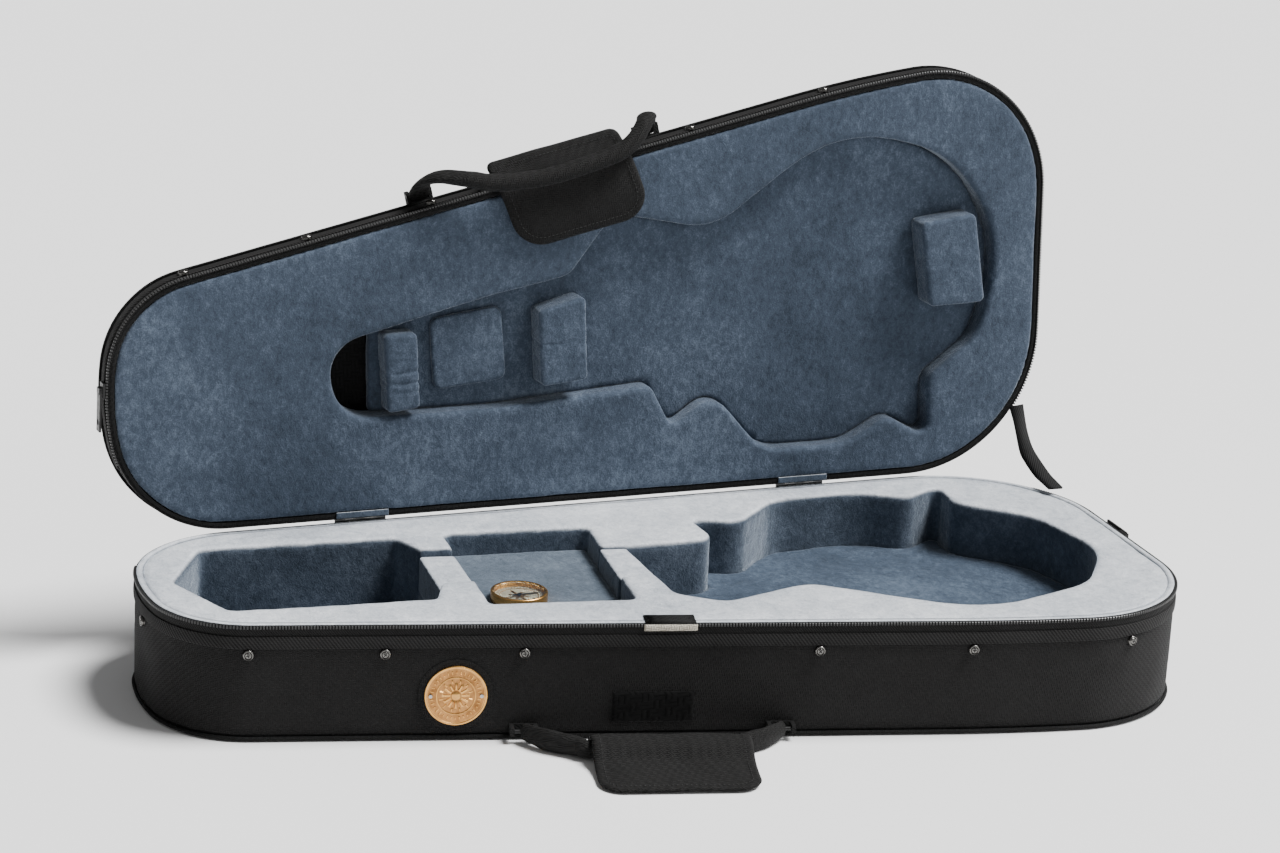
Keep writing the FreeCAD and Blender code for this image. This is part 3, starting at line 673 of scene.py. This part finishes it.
def teeth(name, z0, z1, place, body, node):
    """The zip's moulded teeth, one tapered block at every TOOTH_PITCH."""
    verts, faces = [], []
    start, length = PATH[RUN[0]][2], (PATH[RUN[-1]][2] - PATH[RUN[0]][2]) % AROUND
    count = int((length - 4) / TOOTH_PITCH)
    for k in range(count):
        p, m = at_run(start + 2 + k * TOOTH_PITCH)
        t = Vector((-m.y, m.x))
        low = len(verts)
        for off, half, z_low, z_high in ((5.15, 0.75, z0, z1), (6.15, 0.7, z0, z1),
                                         (6.6, 0.42, z0 + 0.35, z1 - 0.35)):
            for side_, z in ((-1, z_low), (1, z_low), (1, z_high), (-1, z_high)):
                q = p + m * off + t * half * side_
                verts.append(place(Vector((q.x, q.y, z))))
        for ring_ in range(2):
            for j in range(4):
                a = low + ring_ * 4 + j
                b = low + ring_ * 4 + (j + 1) % 4
                faces.append((a, b, b + 4, a + 4))
        faces += [(low + 3, low + 2, low + 1, low), (low + 8, low + 9, low + 10, low + 11)]
    obj = new_object(name, verts, faces, COIL, smooth=False)
    belongs(fix_normals(obj), body, node, slot="zip_coil")


teeth("base_zip_teeth", 88.8, 91.2, world, "base", "base_zip_coil")
teeth("lid_zip_teeth", 93.8, 96.2, lid_world, "lid", "lid_zip_coil")


# ---- the lid's outer panel -------------------------------------------------------------
def panel():
    """Cloth over the lid's top: rounded edge rings, then a filled, faintly uneven field."""
    rings = [(5.0, LID_PANEL_LOW), (5.0, LID_PANEL_LOW + 0.4)]
    for k in range(1, 9):
        a = math.pi / 2 * k / 8
        rings.append((5.0 - 10 * (1 - math.cos(a)), LID_PANEL_LOW + 10 * math.sin(a)))
    rings += [(-12, LID_TOP), (-22, LID_TOP)]
    verts, faces = [], []
    n = len(PATH)
    for off, z in rings:
        for p, m, _ in PATH:
            q = p + m * off
            verts.append(Vector((q.x, q.y, z)))
    for r in range(len(rings) - 1):
        for i in range(n):
            j = (i + 1) % n
            faces.append((r * n + i, r * n + j, (r + 1) * n + j, (r + 1) * n + i))
    edge = [p + m * -22 for p, m, _ in PATH]
    inside, fades = [], []
    for ix in range(-2, 79):
        for iy in range(-35, 1):
            x, y = ix * 10.0 + (5.0 if iy % 2 else 0.0), iy * 10.0
            depth = min((p.x - x) * m.x + (p.y - y) * m.y for p, m, _ in PATH[::8])
            if depth > 30:
                inside.append(Vector((x, y)))
                fades.append(min(1.0, (depth - 22) / 70) ** 2)
    coords, _, tris, source, _, _ = delaunay_2d_cdt(
        edge + inside, [], [list(range(n))], 1, 1e-5)
    first = (len(rings) - 1) * n
    remap = {}
    for i, c in enumerate(coords):
        origin = source[i][0] if source[i] else None
        if origin is not None and origin < n:
            remap[i] = first + origin
        else:
            remap[i] = len(verts)
            fade = fades[origin - n] if origin is not None else 0.0
            lift = noise.noise(Vector((c.x * 0.02, c.y * 0.02, 0))) * 0.35 * fade
            verts.append(Vector((c.x, c.y, LID_TOP + lift)))
    faces += [tuple(remap[i] for i in t) for t in tris]
    back = len(verts)
    for p, m, _ in PATH:
        q = p + m * 4.2
        verts.append(Vector((q.x, q.y, LID_PANEL_LOW)))
    for i in range(n):
        j = (i + 1) % n
        faces.append((i, j, back + j, back + i))
    obj = new_object("lid_panel_cloth", [lid_world(v) for v in verts], faces, WOVEN)
    unwrap(obj, [(p.x * MM, (p.y + p.z) * MM) for p in verts])
    return fix_normals(obj)


belongs(panel(), "lid", "lid_panel", slot="woven_cover")


# ---- handles -------------------------------------------------------------------------------
def catmull(points, count):
    """A smooth line through points of any length of numbers."""
    out = []
    n = len(points)
    for i in range(n - 1):
        p0, p1 = points[max(i - 1, 0)], points[i]
        p2, p3 = points[i + 1], points[min(i + 2, n - 1)]
        for k in range(count):
            t = k / count
            out.append(tuple(0.5 * (2 * b + (c - a) * t + (2 * a - 5 * b + 4 * c - d) * t * t
                                    + (3 * b - a - 3 * c + d) * t ** 3)
                             for a, b, c, d in zip(p0, p1, p2, p3)))
    out.append(tuple(points[-1]))
    return out


def padded_tube(name, points, material, place):
    """A stuffed cloth tube; each point is (s, v, z, width along the case side, thickness)."""
    line = catmull(points, 8)
    around = 20
    verts, run = [], 0.0
    last = None
    for i, (s, v, z, wide, thick) in enumerate(line):
        c = Vector(front(s, v, z))
        a = Vector(front(*line[max(i - 1, 0)][:3]))
        b = Vector(front(*line[min(i + 1, len(line) - 1)][:3]))
        t = (b - a).normalized()
        out_ = Vector((FRONT_N.x, FRONT_N.y, 0))
        side_ = t.cross(out_)
        if side_.length < 0.2:
            side_ = last if last is not None else t.cross(Vector((0, 0, 1)))
        side_.normalize()
        if last is not None and side_.dot(last) < 0:
            side_.negate()
        last = side_
        other = side_.cross(t).normalized()
        run += (c - a).length if i else 0.0
        for k in range(around):
            ang = 2 * math.pi * k / around
            crease = 1.0 + 0.05 * noise.noise(Vector((run * 0.11, k * 0.5, z * 0.02)))
            q = c + (side_ * math.cos(ang) * wide + other * math.sin(ang) * thick) * 0.5 * crease
            verts.append(place(q))
    faces = []
    rows = len(line)
    for i in range(rows - 1):
        for k in range(around):
            j = (k + 1) % around
            faces.append((i * around + k, i * around + j, (i + 1) * around + j, (i + 1) * around + k))
    faces += [tuple(range(around))[::-1], tuple(range((rows - 1) * around, rows * around))]
    return fix_normals(new_object(name, verts, faces, material))


def inset_shape(u, t, width, length, corners, ends):
    """Distance in from the flap's rounded outline, mm; ends says which t ends are free."""
    corner = corners[0] if t < length / 2 else corners[1]
    x = width / 2 - abs(u)
    y0 = t if ends[0] else 1e3
    y1 = length - t if ends[1] else 1e3
    y = min(y0, y1)
    if x < corner and y < corner:
        return corner - math.hypot(corner - x, corner - y)
    return min(x, y)


def flap(name, profile, s0, s1, thick, corners, place, ends=(True, True), border=8.0, sag=1.2,
         twist=0.0):
    """A padded cloth flap with bound edges, following a (v, z) profile across the front."""
    line = catmull(profile, 10)
    run = [0.0]
    for a, b in zip(line, line[1:]):
        run.append(run[-1] + math.hypot(b[0] - a[0], b[1] - a[1]))
    length, width = run[-1], s1 - s0
    nu = int(width / 2.2)
    nt = int(length / 2.2)

    def at(t):
        k = next((i for i in range(1, len(run)) if run[i] >= t), len(run) - 1)
        f = (t - run[k - 1]) / max(run[k] - run[k - 1], 1e-9)
        a, b = line[k - 1], line[k]
        d = (b[0] - a[0], b[1] - a[1])
        size = math.hypot(*d) or 1
        return a[0] + d[0] * f, a[1] + d[1] * f, -d[1] / size, d[0] / size

    def surface(u, t, lift):
        v, z, nv, nz = at(min(max(t, 0), length))
        wave = noise.noise(Vector((u * 0.035, t * 0.03, s0 * 0.1))) * sag
        s = (s0 + s1) / 2 + u + twist * (t / length - 0.5)
        return Vector(front(s, v + nv * (lift + wave), z + nz * (lift + wave)))

    grid, index, verts, faces = {}, {}, [], []
    for side_ in (1, -1):
        for i in range(nu + 1):
            for j in range(nt + 1):
                u, t = (i / nu - 0.5) * width, j / nt * length
                # pull the corner points onto the rounded outline
                d = inset_shape(u, t, width, length, corners, ends)
                if d < 0:
                    corner = corners[0] if t < length / 2 else corners[1]
                    cx = math.copysign(width / 2 - corner, u)
                    ct = corner if t < length / 2 else length - corner
                    far = math.hypot(u - cx, t - ct)
                    u, t = cx + (u - cx) * corner / far, ct + (t - ct) * corner / far
                    d = 0.0
                edge = min(d / 1.6, 1.0)
                h = thick / 2 * math.sqrt(max(0.0, 1 - (1 - edge) ** 2)) * 0.72
                if d > border:
                    h += 0.9 * (1 - math.exp(-(d - border) / 6.0)) - 0.35
                elif d > border - 1.2:
                    h -= 0.35
                h += 0.35 * noise.noise(Vector((u * 0.12, t * 0.12, side_))) * min(1, d / 4)
                h = max(h, 0.0)
                if d <= 1e-6 or (i in (0, nu)) or (j == 0 and ends[0]) or (j == nt and ends[1]):
                    key = (i, j)
                    if key in grid:
                        index[(side_, i, j)] = grid[key]
                        continue
                    grid[key] = len(verts)
                    h = 0.0
                index[(side_, i, j)] = len(verts)
                verts.append(place(surface(u, t, side_ * h)))
    for side_ in (1, -1):
        for i in range(nu):
            for j in range(nt):
                q = [index[(side_, i, j)], index[(side_, i + 1, j)],
                     index[(side_, i + 1, j + 1)], index[(side_, i, j + 1)]]
                q = list(dict.fromkeys(q))
                if len(q) > 2:
                    faces.append(tuple(q) if side_ > 0 else tuple(q[::-1]))
    if not (ends[0] and ends[1]):
        for j in ([0] if not ends[0] else []) + ([nt] if not ends[1] else []):
            for i in range(nu):
                q = [index[(1, i, j)], index[(1, i + 1, j)], index[(-1, i + 1, j)], index[(-1, i, j)]]
                q = list(dict.fromkeys(q))
                if len(q) > 2:
                    faces.append(tuple(q))
    obj = new_object(name, verts, faces, PAD_CLOTH)
    bm = bmesh.new()
    bm.from_mesh(obj.data)
    bmesh.ops.remove_doubles(bm, verts=bm.verts, dist=1e-6)
    bmesh.ops.dissolve_degenerate(bm, edges=bm.edges, dist=1e-7)
    bmesh.ops.recalc_face_normals(bm, faces=bm.faces)
    bm.to_mesh(obj.data)
    bm.free()
    obj.data.shade_smooth()

    # the stitch line that holds the binding
    sv, sf = [], []
    inset = border - 1.6
    trail = []
    w, lo, hi = width / 2 - inset, inset if ends[0] else 0.0, length - (inset if ends[1] else 0)

    def arc(cu, ct, a0):
        r = max(corners[0 if ct < length / 2 else 1] - inset, 2.0)
        cu -= math.copysign(r, cu)
        ct += r if ct < length / 2 else -r
        return [(cu + r * math.cos(a0 + math.pi / 2 * k / 6), ct + r * math.sin(a0 + math.pi / 2 * k / 6))
                for k in range(7)]
    trail = [(w, (lo + hi) / 2)]
    trail += arc(w, hi, 0) if ends[1] else [(w, hi)]
    trail += arc(-w, hi, math.pi / 2) if ends[1] else [(-w, hi)]
    trail += arc(-w, lo, math.pi) if ends[0] else [(-w, lo)]
    trail += arc(w, lo, 1.5 * math.pi) if ends[0] else [(w, lo)]
    trail.append(trail[0])
    dist, places = 0.0, []
    for a, b in zip(trail, trail[1:]):
        seg = math.hypot(b[0] - a[0], b[1] - a[1])
        while dist < seg:
            f = dist / max(seg, 1e-9)
            places.append((a[0] + (b[0] - a[0]) * f, a[1] + (b[1] - a[1]) * f,
                           (b[0] - a[0]) / seg, (b[1] - a[1]) / seg))
            dist += 3.4
        dist -= seg
    for side_ in (1, -1):
        for u, t, du, dt in places:
            lift = side_ * (thick / 2 * 0.72 + 0.05)
            low = len(sv)
            for along, half, up_ in ((-1.15, 0.12, -0.25), (-0.5, 0.28, 0.22),
                                     (0.5, 0.28, 0.22), (1.15, 0.12, -0.25)):
                for across_, rise in ((-1, 0), (0, 1), (1, 0), (0, -1)):
                    uu = u + du * along - dt * half * across_
                    tt = t + dt * along + du * half * across_
                    sv.append(place(surface(uu, tt, lift + side_ * (up_ + rise * half))))
            for ring_ in range(3):
                for j in range(4):
                    a, b = low + ring_ * 4 + j, low + ring_ * 4 + (j + 1) % 4
                    sf.append((a, b, b + 4, a + 4))
            sf += [(low + 3, low + 2, low + 1, low), (low + 12, low + 13, low + 14, low + 15)]
    stitches = fix_normals(new_object(name + "_stitches", sv, sf, THREAD))
    return obj, stitches


S0, S1 = 251.0, 445.0
base_grip = padded_tube("base_handle_tube", [
    (S0, 13, 9.3, 13, 7), (S0 + 6, 20, 9.2, 15, 8), (S0 + 17, 30, 9, 17, 9), (S0 + 36, 39, 8.6, 15, 12),
    (298, 45, 8.2, 13, 13), (348, 46, 8.2, 14, 14), (398, 45, 8.2, 13, 13),
    (S1 - 36, 39, 8.6, 15, 12), (S1 - 17, 30, 9, 17, 9), (S1 - 6, 20, 9.2, 15, 8), (S1, 13, 9.3, 13, 7)],
    PAD_CLOTH, world)
belongs(base_grip, "base_handle", "base_handle_grip", slot="padded_cloth")
base_flap, base_stitch = flap("base_handle_flap", [
    (28, 3), (33, 11), (43, 16.8), (55, 14), (66, 7), (84, 3.6), (110, 3)], 296, 416, 4.0, (6, 18), world)
belongs(base_flap, "base_handle", "base_handle_wrap", slot="padded_cloth")
belongs(base_stitch, "base_handle", slot="padded_cloth")

lid_grip = padded_tube("lid_handle_tube", [
    (S0, 9, 119, 17, 6), (S0 + 1, 19, 112, 20, 7), (S0 + 6, 26, 102, 22, 8), (266, 28, 91, 21, 9),
    (283, 23, 80, 14, 13), (304, 15, 78, 12, 14), (340, 9, 77.5, 12, 14), (374, 9, 77.5, 12, 14),
    (405, 11.5, 78, 12, 14), (421, 17, 80, 12, 14), (433, 25, 86, 14, 12), (441, 27.5, 98, 16, 9),
    (S1 - 1, 20, 111, 16, 7), (S1, 10, 119, 15, 6)], PAD_CLOTH, lid_world)
belongs(lid_grip, "lid_handle", "lid_handle_grip", slot="padded_cloth")
lid_flap, lid_stitch = flap("lid_handle_flap", [
    (26, 102), (17, 95.5), (8, 90), (-2, 86.6), (-15, 85.6), (-30, 86), (-47, 88)], 309, 421, 3.6,
    (7, 24), lid_world, twist=12.0, sag=1.0)
belongs(lid_flap, "lid_handle", "lid_handle_wrap", slot="padded_cloth")
belongs(lid_stitch, "lid_handle", slot="padded_cloth")


# ---- small cloth pieces ------------------------------------------------------------------------
def strip(name, rows, material, thick):
    """A woven strip along centre points with side directions, all in metres."""
    verts, faces, uvs = [], [], []
    run = 0.0
    for i, (c, side_, normal, half) in enumerate(rows):
        run += (c - rows[i - 1][0]).length if i else 0.0
        for a, b in ((-1, -1), (-0.93, -0.2), (-1, 1), (0, 1.0), (1, 1), (0.93, 0.2), (1, -1), (0, -1.0)):
            verts.append(c + side_ * half * a + normal * thick * 0.5 * b)
            uvs.append((half * a, run))
    k = 8
    for i in range(len(rows) - 1):
        for j in range(k):
            m = (j + 1) % k
            faces.append((i * k + j, i * k + m, (i + 1) * k + m, (i + 1) * k + j))
    faces += [tuple(range(k))[::-1], tuple(range((len(rows) - 1) * k, len(rows) * k))]
    obj = fix_normals(new_object(name, verts, faces, material))
    unwrap(obj, uvs)
    return obj


stay_line = catmull([(752, -4, 150), (753, -9, 140), (754, -15, 128), (755.5, -21, 117),
                     (757, -27, 111), (759.5, -44, 102), (760.5, -57, 99), (760.5, -69, 97.5)], 6)
rows = []
for i, p in enumerate(stay_line):
    a = world(stay_line[max(i - 1, 0)])
    b = world(stay_line[min(i + 1, len(stay_line) - 1)])
    t = (b - a).normalized()
    turn_ = 0.35 * math.sin(i * 0.16)
    side_ = Vector((math.cos(turn_), math.sin(turn_), 0))
    side_ = (side_ - t * side_.dot(t)).normalized()
    rows.append((world(p), side_, side_.cross(t).normalized(), 6.5 * MM))
stay = strip("lid_stay_webbing", rows, WEBBING_UV, 1.4 * MM)
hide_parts("lid_stay")
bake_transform(stay)


def patch(name, s0, s1, z0, z1, v0, thick, material, fuzz, slot, node, rows_=2.0):
    """A cloth patch sewn flat on the front wall, with a rough face."""
    nu, nz = int((s1 - s0) / rows_), int((z1 - z0) / rows_)
    verts, faces = [], []
    for i in range(nu + 1):
        for j in range(nz + 1):
            s, z = s0 + (s1 - s0) * i / nu, z0 + (z1 - z0) * j / nz
            edge = min(i, nu - i, j, nz - j)
            h = thick * (0.35 if edge == 0 else 0.85 if edge == 1 else 1.0)
            h += fuzz * noise.noise(Vector((s * 0.9, z * 0.9, 0))) * (edge > 0)
            verts.append(world(front(s, v0 + h, z)))
    top = len(verts)
    for i in range(nu + 1):
        for j in range(nz + 1):
            s, z = s0 + (s1 - s0) * i / nu, z0 + (z1 - z0) * j / nz
            if i in (0, nu) or j in (0, nz):
                verts.append(world(front(s, v0, z)))
    low = {}
    n = top
    for i in range(nu + 1):
        for j in range(nz + 1):
            if i in (0, nu) or j in (0, nz):
                low[(i, j)] = n
                n += 1

    def idx(i, j):
        return i * (nz + 1) + j

    for i in range(nu):
        for j in range(nz):
            faces.append((idx(i, j), idx(i + 1, j), idx(i + 1, j + 1), idx(i, j + 1)))
    border = [(i, 0) for i in range(nu)] + [(nu, j) for j in range(nz)]
    border += [(i, nz) for i in range(nu, 0, -1)] + [(0, j) for j in range(nz, 0, -1)]
    for a, b in zip(border, border[1:] + border[:1]):
        faces.append((idx(*a), idx(*b), low[b], low[a]))
    faces.append(tuple(low[b] for b in border)[::-1])
    return belongs(fix_normals(new_object(name, verts, faces, material)), "base", node, slot=slot)


patch("hook_patch_fuzz", 317, 379, 13, 37, 5.02, 1.5, FUZZ, 0.6, "woven_cover", "hook_patch", 1.2)
patch("tab_strip_cloth", 338, 378, 86, 91, 6.7, 0.9, CREAM, 0.15, "cream_tape", "tab_strip", 1.0)
rows = []
for k in range(9):
    v = -9 + 15.2 * k / 8
    z = 92.4 - max(0.0, v - 4.4) * 0.45 + 0.2 * math.sin(k)
    c = world(front(358, v, z))
    rows.append((c, Vector((FRONT_D.x, FRONT_D.y, 0)), Vector((0, 0, 1)), 19 * MM))
tab = strip("front_tab_cloth", rows, TRIM_UV, 0.7 * MM)
belongs(tab, "base", "front_tab", slot="black_trim")


# ---- screws, medallion and dial -----------------------------------------------------------
def lathe(profile, count=28):
    """(radius, height) pairs turned about +Z; returns verts and faces, mm."""
    verts, faces = [], []
    for r, h in profile:
        for k in range(count):
            a = 2 * math.pi * k / count
            verts.append(Vector((r * math.cos(a), r * math.sin(a), h)))
    for i in range(len(profile) - 1):
        for k in range(count):
            m = (k + 1) % count
            faces.append((i * count + k, i * count + m, (i + 1) * count + m, (i + 1) * count + k))
    faces += [tuple(range(count))[::-1],
              tuple(range((len(profile) - 1) * count, len(profile) * count))]
    return verts, faces


def block(x, y, z, sx, sy, sz, turned=0.0, taper=0.8):
    """A small tapered block about (x, y), its top narrower; verts and faces, mm."""
    verts = []
    for top, f in ((0, 1.0), (1, taper)):
        for a, b in ((-1, -1), (1, -1), (1, 1), (-1, 1)):
            px, py = a * sx / 2 * f, b * sy / 2 * f
            c, d = math.cos(turned), math.sin(turned)
            verts.append(Vector((x + px * c - py * d, y + px * d + py * c, z + sz * top)))
    return verts, [(3, 2, 1, 0), (4, 5, 6, 7), (0, 1, 5, 4), (1, 2, 6, 5), (2, 3, 7, 6), (3, 0, 4, 7)]


def assemble(name, parts, matrices, materials):
    """Parts are (verts, faces, material index); each matrix places one copy."""
    verts, faces, kinds = [], [], []
    for matrix in matrices:
        for part_verts, part_faces, kind in parts:
            low = len(verts)
            verts += [matrix @ (v * MM) for v in part_verts]
            faces += [tuple(low + i for i in f) for f in part_faces]
            kinds += [kind] * len(part_faces)
    obj = new_object(name, verts, faces, materials[0])
    for extra in materials[1:]:
        obj.data.materials.append(extra)
    obj.data.polygons.foreach_set("material_index", kinds)
    fix_normals(obj)
    obj.data.set_sharp_from_angle(angle=math.radians(35))
    return obj


def islands(node):
    """The points of each separate solid of a CAD node, one list for each."""
    me = nodes[node].data
    bm = bmesh.new()
    bm.from_mesh(me)
    seen, out = set(), []
    for v in bm.verts:
        if v.index in seen:
            continue
        stack, group = [v], []
        seen.add(v.index)
        while stack:
            w = stack.pop()
            group.append(w.co.copy())
            for e in w.link_edges:
                o = e.other_vert(w)
                if o.index not in seen:
                    seen.add(o.index)
                    stack.append(o)
        out.append(group)
    bm.free()
    return out


def facing_frame(points, outward):
    """A frame at the base of a little solid, its z axis pointing outward."""
    middle = sum(points, Vector()) / len(points)
    low = min((p - middle).dot(outward) for p in points)
    rot = outward.to_track_quat("Z", "Y").to_matrix().to_4x4()
    return Matrix.Translation(middle + outward * low) @ rot


def outward_at(point, lid):
    """The wall's outward direction nearest to a point of the base or the open lid."""
    best = None
    for p, m, _ in PATH[::2]:
        q = lid_world((p.x, p.y, 105.5)) if lid else world((p.x, p.y, 69))
        d = (q - point).length
        if best is None or d < best[0]:
            tip = (lid_world((p.x + m.x, p.y + m.y, 105.5)) if lid
                   else world((p.x + m.x, p.y + m.y, 69)))
            best = (d, (tip - q).normalized())
    return best[1]


# kind 1 parts, the gap ring round the head and the cross slots, take the painted-shade metal
SCREW = [(*lathe([(4.1, 0.0), (4.15, 0.3), (3.9, 0.85), (3.4, 1.15), (2.95, 1.0), (2.75, 0.45)]), 0),
         (*lathe([(2.5, 0.1), (2.5, 0.7), (2.2, 1.1), (1.4, 1.36), (0.5, 1.42)]), 0),
         (*lathe([(2.74, 0.1), (2.74, 0.5), (2.4, 0.52)]), 1),
         (*block(0, 0, 1.18, 3.3, 0.8, 0.27, 0.5, 0.95), 1),
         (*block(0, 0, 1.18, 0.8, 3.3, 0.27, 0.5, 0.95), 1)]
for node, body, in_lid in (("base_screws", "base", False), ("lid_screws", "lid", True)):
    frames = []
    for group in islands(node):
        middle = sum(group, Vector()) / len(group)
        frames.append(facing_frame(group, outward_at(middle, in_lid)))
    spin = [f @ Matrix.Rotation(i * 0.9, 4, "Z") for i, f in enumerate(frames)]
    belongs(assemble(node + "_cupped", SCREW, spin, [SCREW_METAL, SCREW_SHADE_METAL]), body, node,
            slot="nickel")

outward = Vector((FRONT_N.x, FRONT_N.y, 0))
at_medal = (Matrix.Translation(world(front(200, 6.05, 36)))
            @ outward.to_track_quat("Z", "Y").to_matrix().to_4x4())
relief = [(*lathe([(23.5, 0.0), (23.5, 1.2), (23.2, 1.7), (22.6, 1.9), (21.9, 1.7), (21.6, 1.2),
                   (21.2, 1.1)], 96), 0),
          (*lathe([(21.25, 0.2), (21.2, 1.12), (20.9, 1.14)], 96), 1),
          (*lathe([(15.0, 1.0), (14.9, 1.5), (14.5, 1.65), (14.1, 1.5), (14.0, 1.0)], 72), 0),
          (*lathe([(3.4, 1.0), (3.3, 1.6), (2.4, 2.1), (1.0, 2.3)], 32), 0)]
for k in range(12):
    a = 2 * math.pi * k / 12
    relief.append((*block(7.2 * math.cos(a), 7.2 * math.sin(a), 1.05, 6.6, 2.3, 0.75, a, 0.55), 0))
    b = a + math.pi / 12
    relief.append((*block(11.3 * math.cos(b), 11.3 * math.sin(b), 1.05, 3.6, 1.5, 0.55, b, 0.5), 0))
for k in range(36):
    a = 2 * math.pi * k / 36
    long = 3.4 if k % 3 else 2.0
    relief.append((*block(18.1 * math.cos(a), 18.1 * math.sin(a), 1.05, long, 1.1, 0.6, a, 0.6), 0))
belongs(assemble("medallion_rosette", relief, [at_medal], [BRASS, FIELD]), "base", "medallion",
        slot="brass")

dial = [(*lathe([(19.7, 0.0), (19.7, 0.7), (19.4, 0.75)], 72), 0),
        (*lathe([(15.4, 0.70), (15.3, 0.95), (14.8, 0.98), (14.7, 0.7)], 72), 1)]
for k in range(40):
    a = 2 * math.pi * (k / 40 * 0.86 + 0.07) - math.pi / 2
    size_ = 2.6 if k % 5 == 0 else 1.4
    dial.append((*block(17.4 * math.cos(a), 17.4 * math.sin(a), 0.72, size_, 0.45, 0.12, a, 1.0), 2))
for k in range(8):
    a = math.pi / 4 * k + 0.2
    reach = 6.6 if k % 2 == 0 else 4.4
    dial.append((*block(reach * math.cos(a), reach * math.sin(a), 0.72, reach * 1.9, 2.6, 0.28, a,
                        0.25), 1))
at_dial = Matrix.Translation(world((261, -149, 76.05)))
belongs(assemble("hygrometer_star_dial", dial, [at_dial], [DIAL, BRASS, BLACK_METAL]), "base",
        "hygrometer_dial", slot="dial_face")


# ---- camera, lights, floor ----------------------------------------------------------
def aim(obj, target):
    obj.rotation_euler = (Vector(target) - obj.location).to_track_quat("-Z", "Y").to_euler()


yaw, pitch, roll = math.radians(-22.3), math.radians(17.96), math.radians(3.0)
ahead = Vector((-math.sin(yaw) * math.cos(pitch), math.cos(yaw) * math.cos(pitch), -math.sin(pitch)))
right = Vector((math.cos(yaw), math.sin(yaw), 0))
up = right.cross(ahead)
across = right * math.cos(roll) + up * math.sin(roll)
upward = -right * math.sin(roll) + up * math.cos(roll)
camera = bpy.data.objects.new("camera", bpy.data.cameras.new("camera"))
bpy.context.scene.collection.objects.link(camera)
turn = Matrix((across, upward, -ahead)).transposed().to_4x4()
camera.matrix_world = Matrix.Translation(Vector((-1.0209, -2.4215, 1.060))) @ turn
camera.data.lens = 102.5
camera.data.sensor_width = 36.0
camera.data.clip_end = 50
bpy.context.scene.camera = camera

world_settings = bpy.data.worlds.new("studio")
world_settings.use_nodes = True
world_settings.node_tree.nodes["Background"].inputs[0].default_value = (1.0, 1.0, 1.0, 1)
world_settings.node_tree.nodes["Background"].inputs[1].default_value = 0.22
bpy.context.scene.world = world_settings


def area(name, place, target, size, power):
    lamp = bpy.data.lights.new(name, "AREA")
    lamp.shape = "RECTANGLE"
    lamp.size, lamp.size_y = size
    lamp.energy = power
    obj = bpy.data.objects.new(name, lamp)
    bpy.context.scene.collection.objects.link(obj)
    obj.location = place
    aim(obj, target)


SKY_POWER, SKY_SOFTNESS = 7.0, math.radians(24)
sun = bpy.data.lights.new("sky", "SUN")
sun.energy = SKY_POWER
sun.angle = SKY_SOFTNESS
sky = bpy.data.objects.new("sky", sun)
bpy.context.scene.collection.objects.link(sky)
sky.location = (0.55, -0.17, 1.0)
aim(sky, (0, 0, 0))
area("fill", (-1.2, -2.6, 1.2), (0, 0, 0.15), (1.8, 1.2), 1)
area("window", (1.05, -0.85, 0.75), (0.36, 0.16, 0.3), (0.8, 0.9), 5)

FLOOR_HALF = 6.0
floor = new_object("floor", [(a * FLOOR_HALF, b * FLOOR_HALF, 0)
                             for a, b in ((-1, -1), (1, -1), (1, 1), (-1, 1))],
                   [(0, 1, 2, 3)], Net("floor_paper").set(Base_Color=(0.92, 0.92, 0.92), Roughness=0.9))
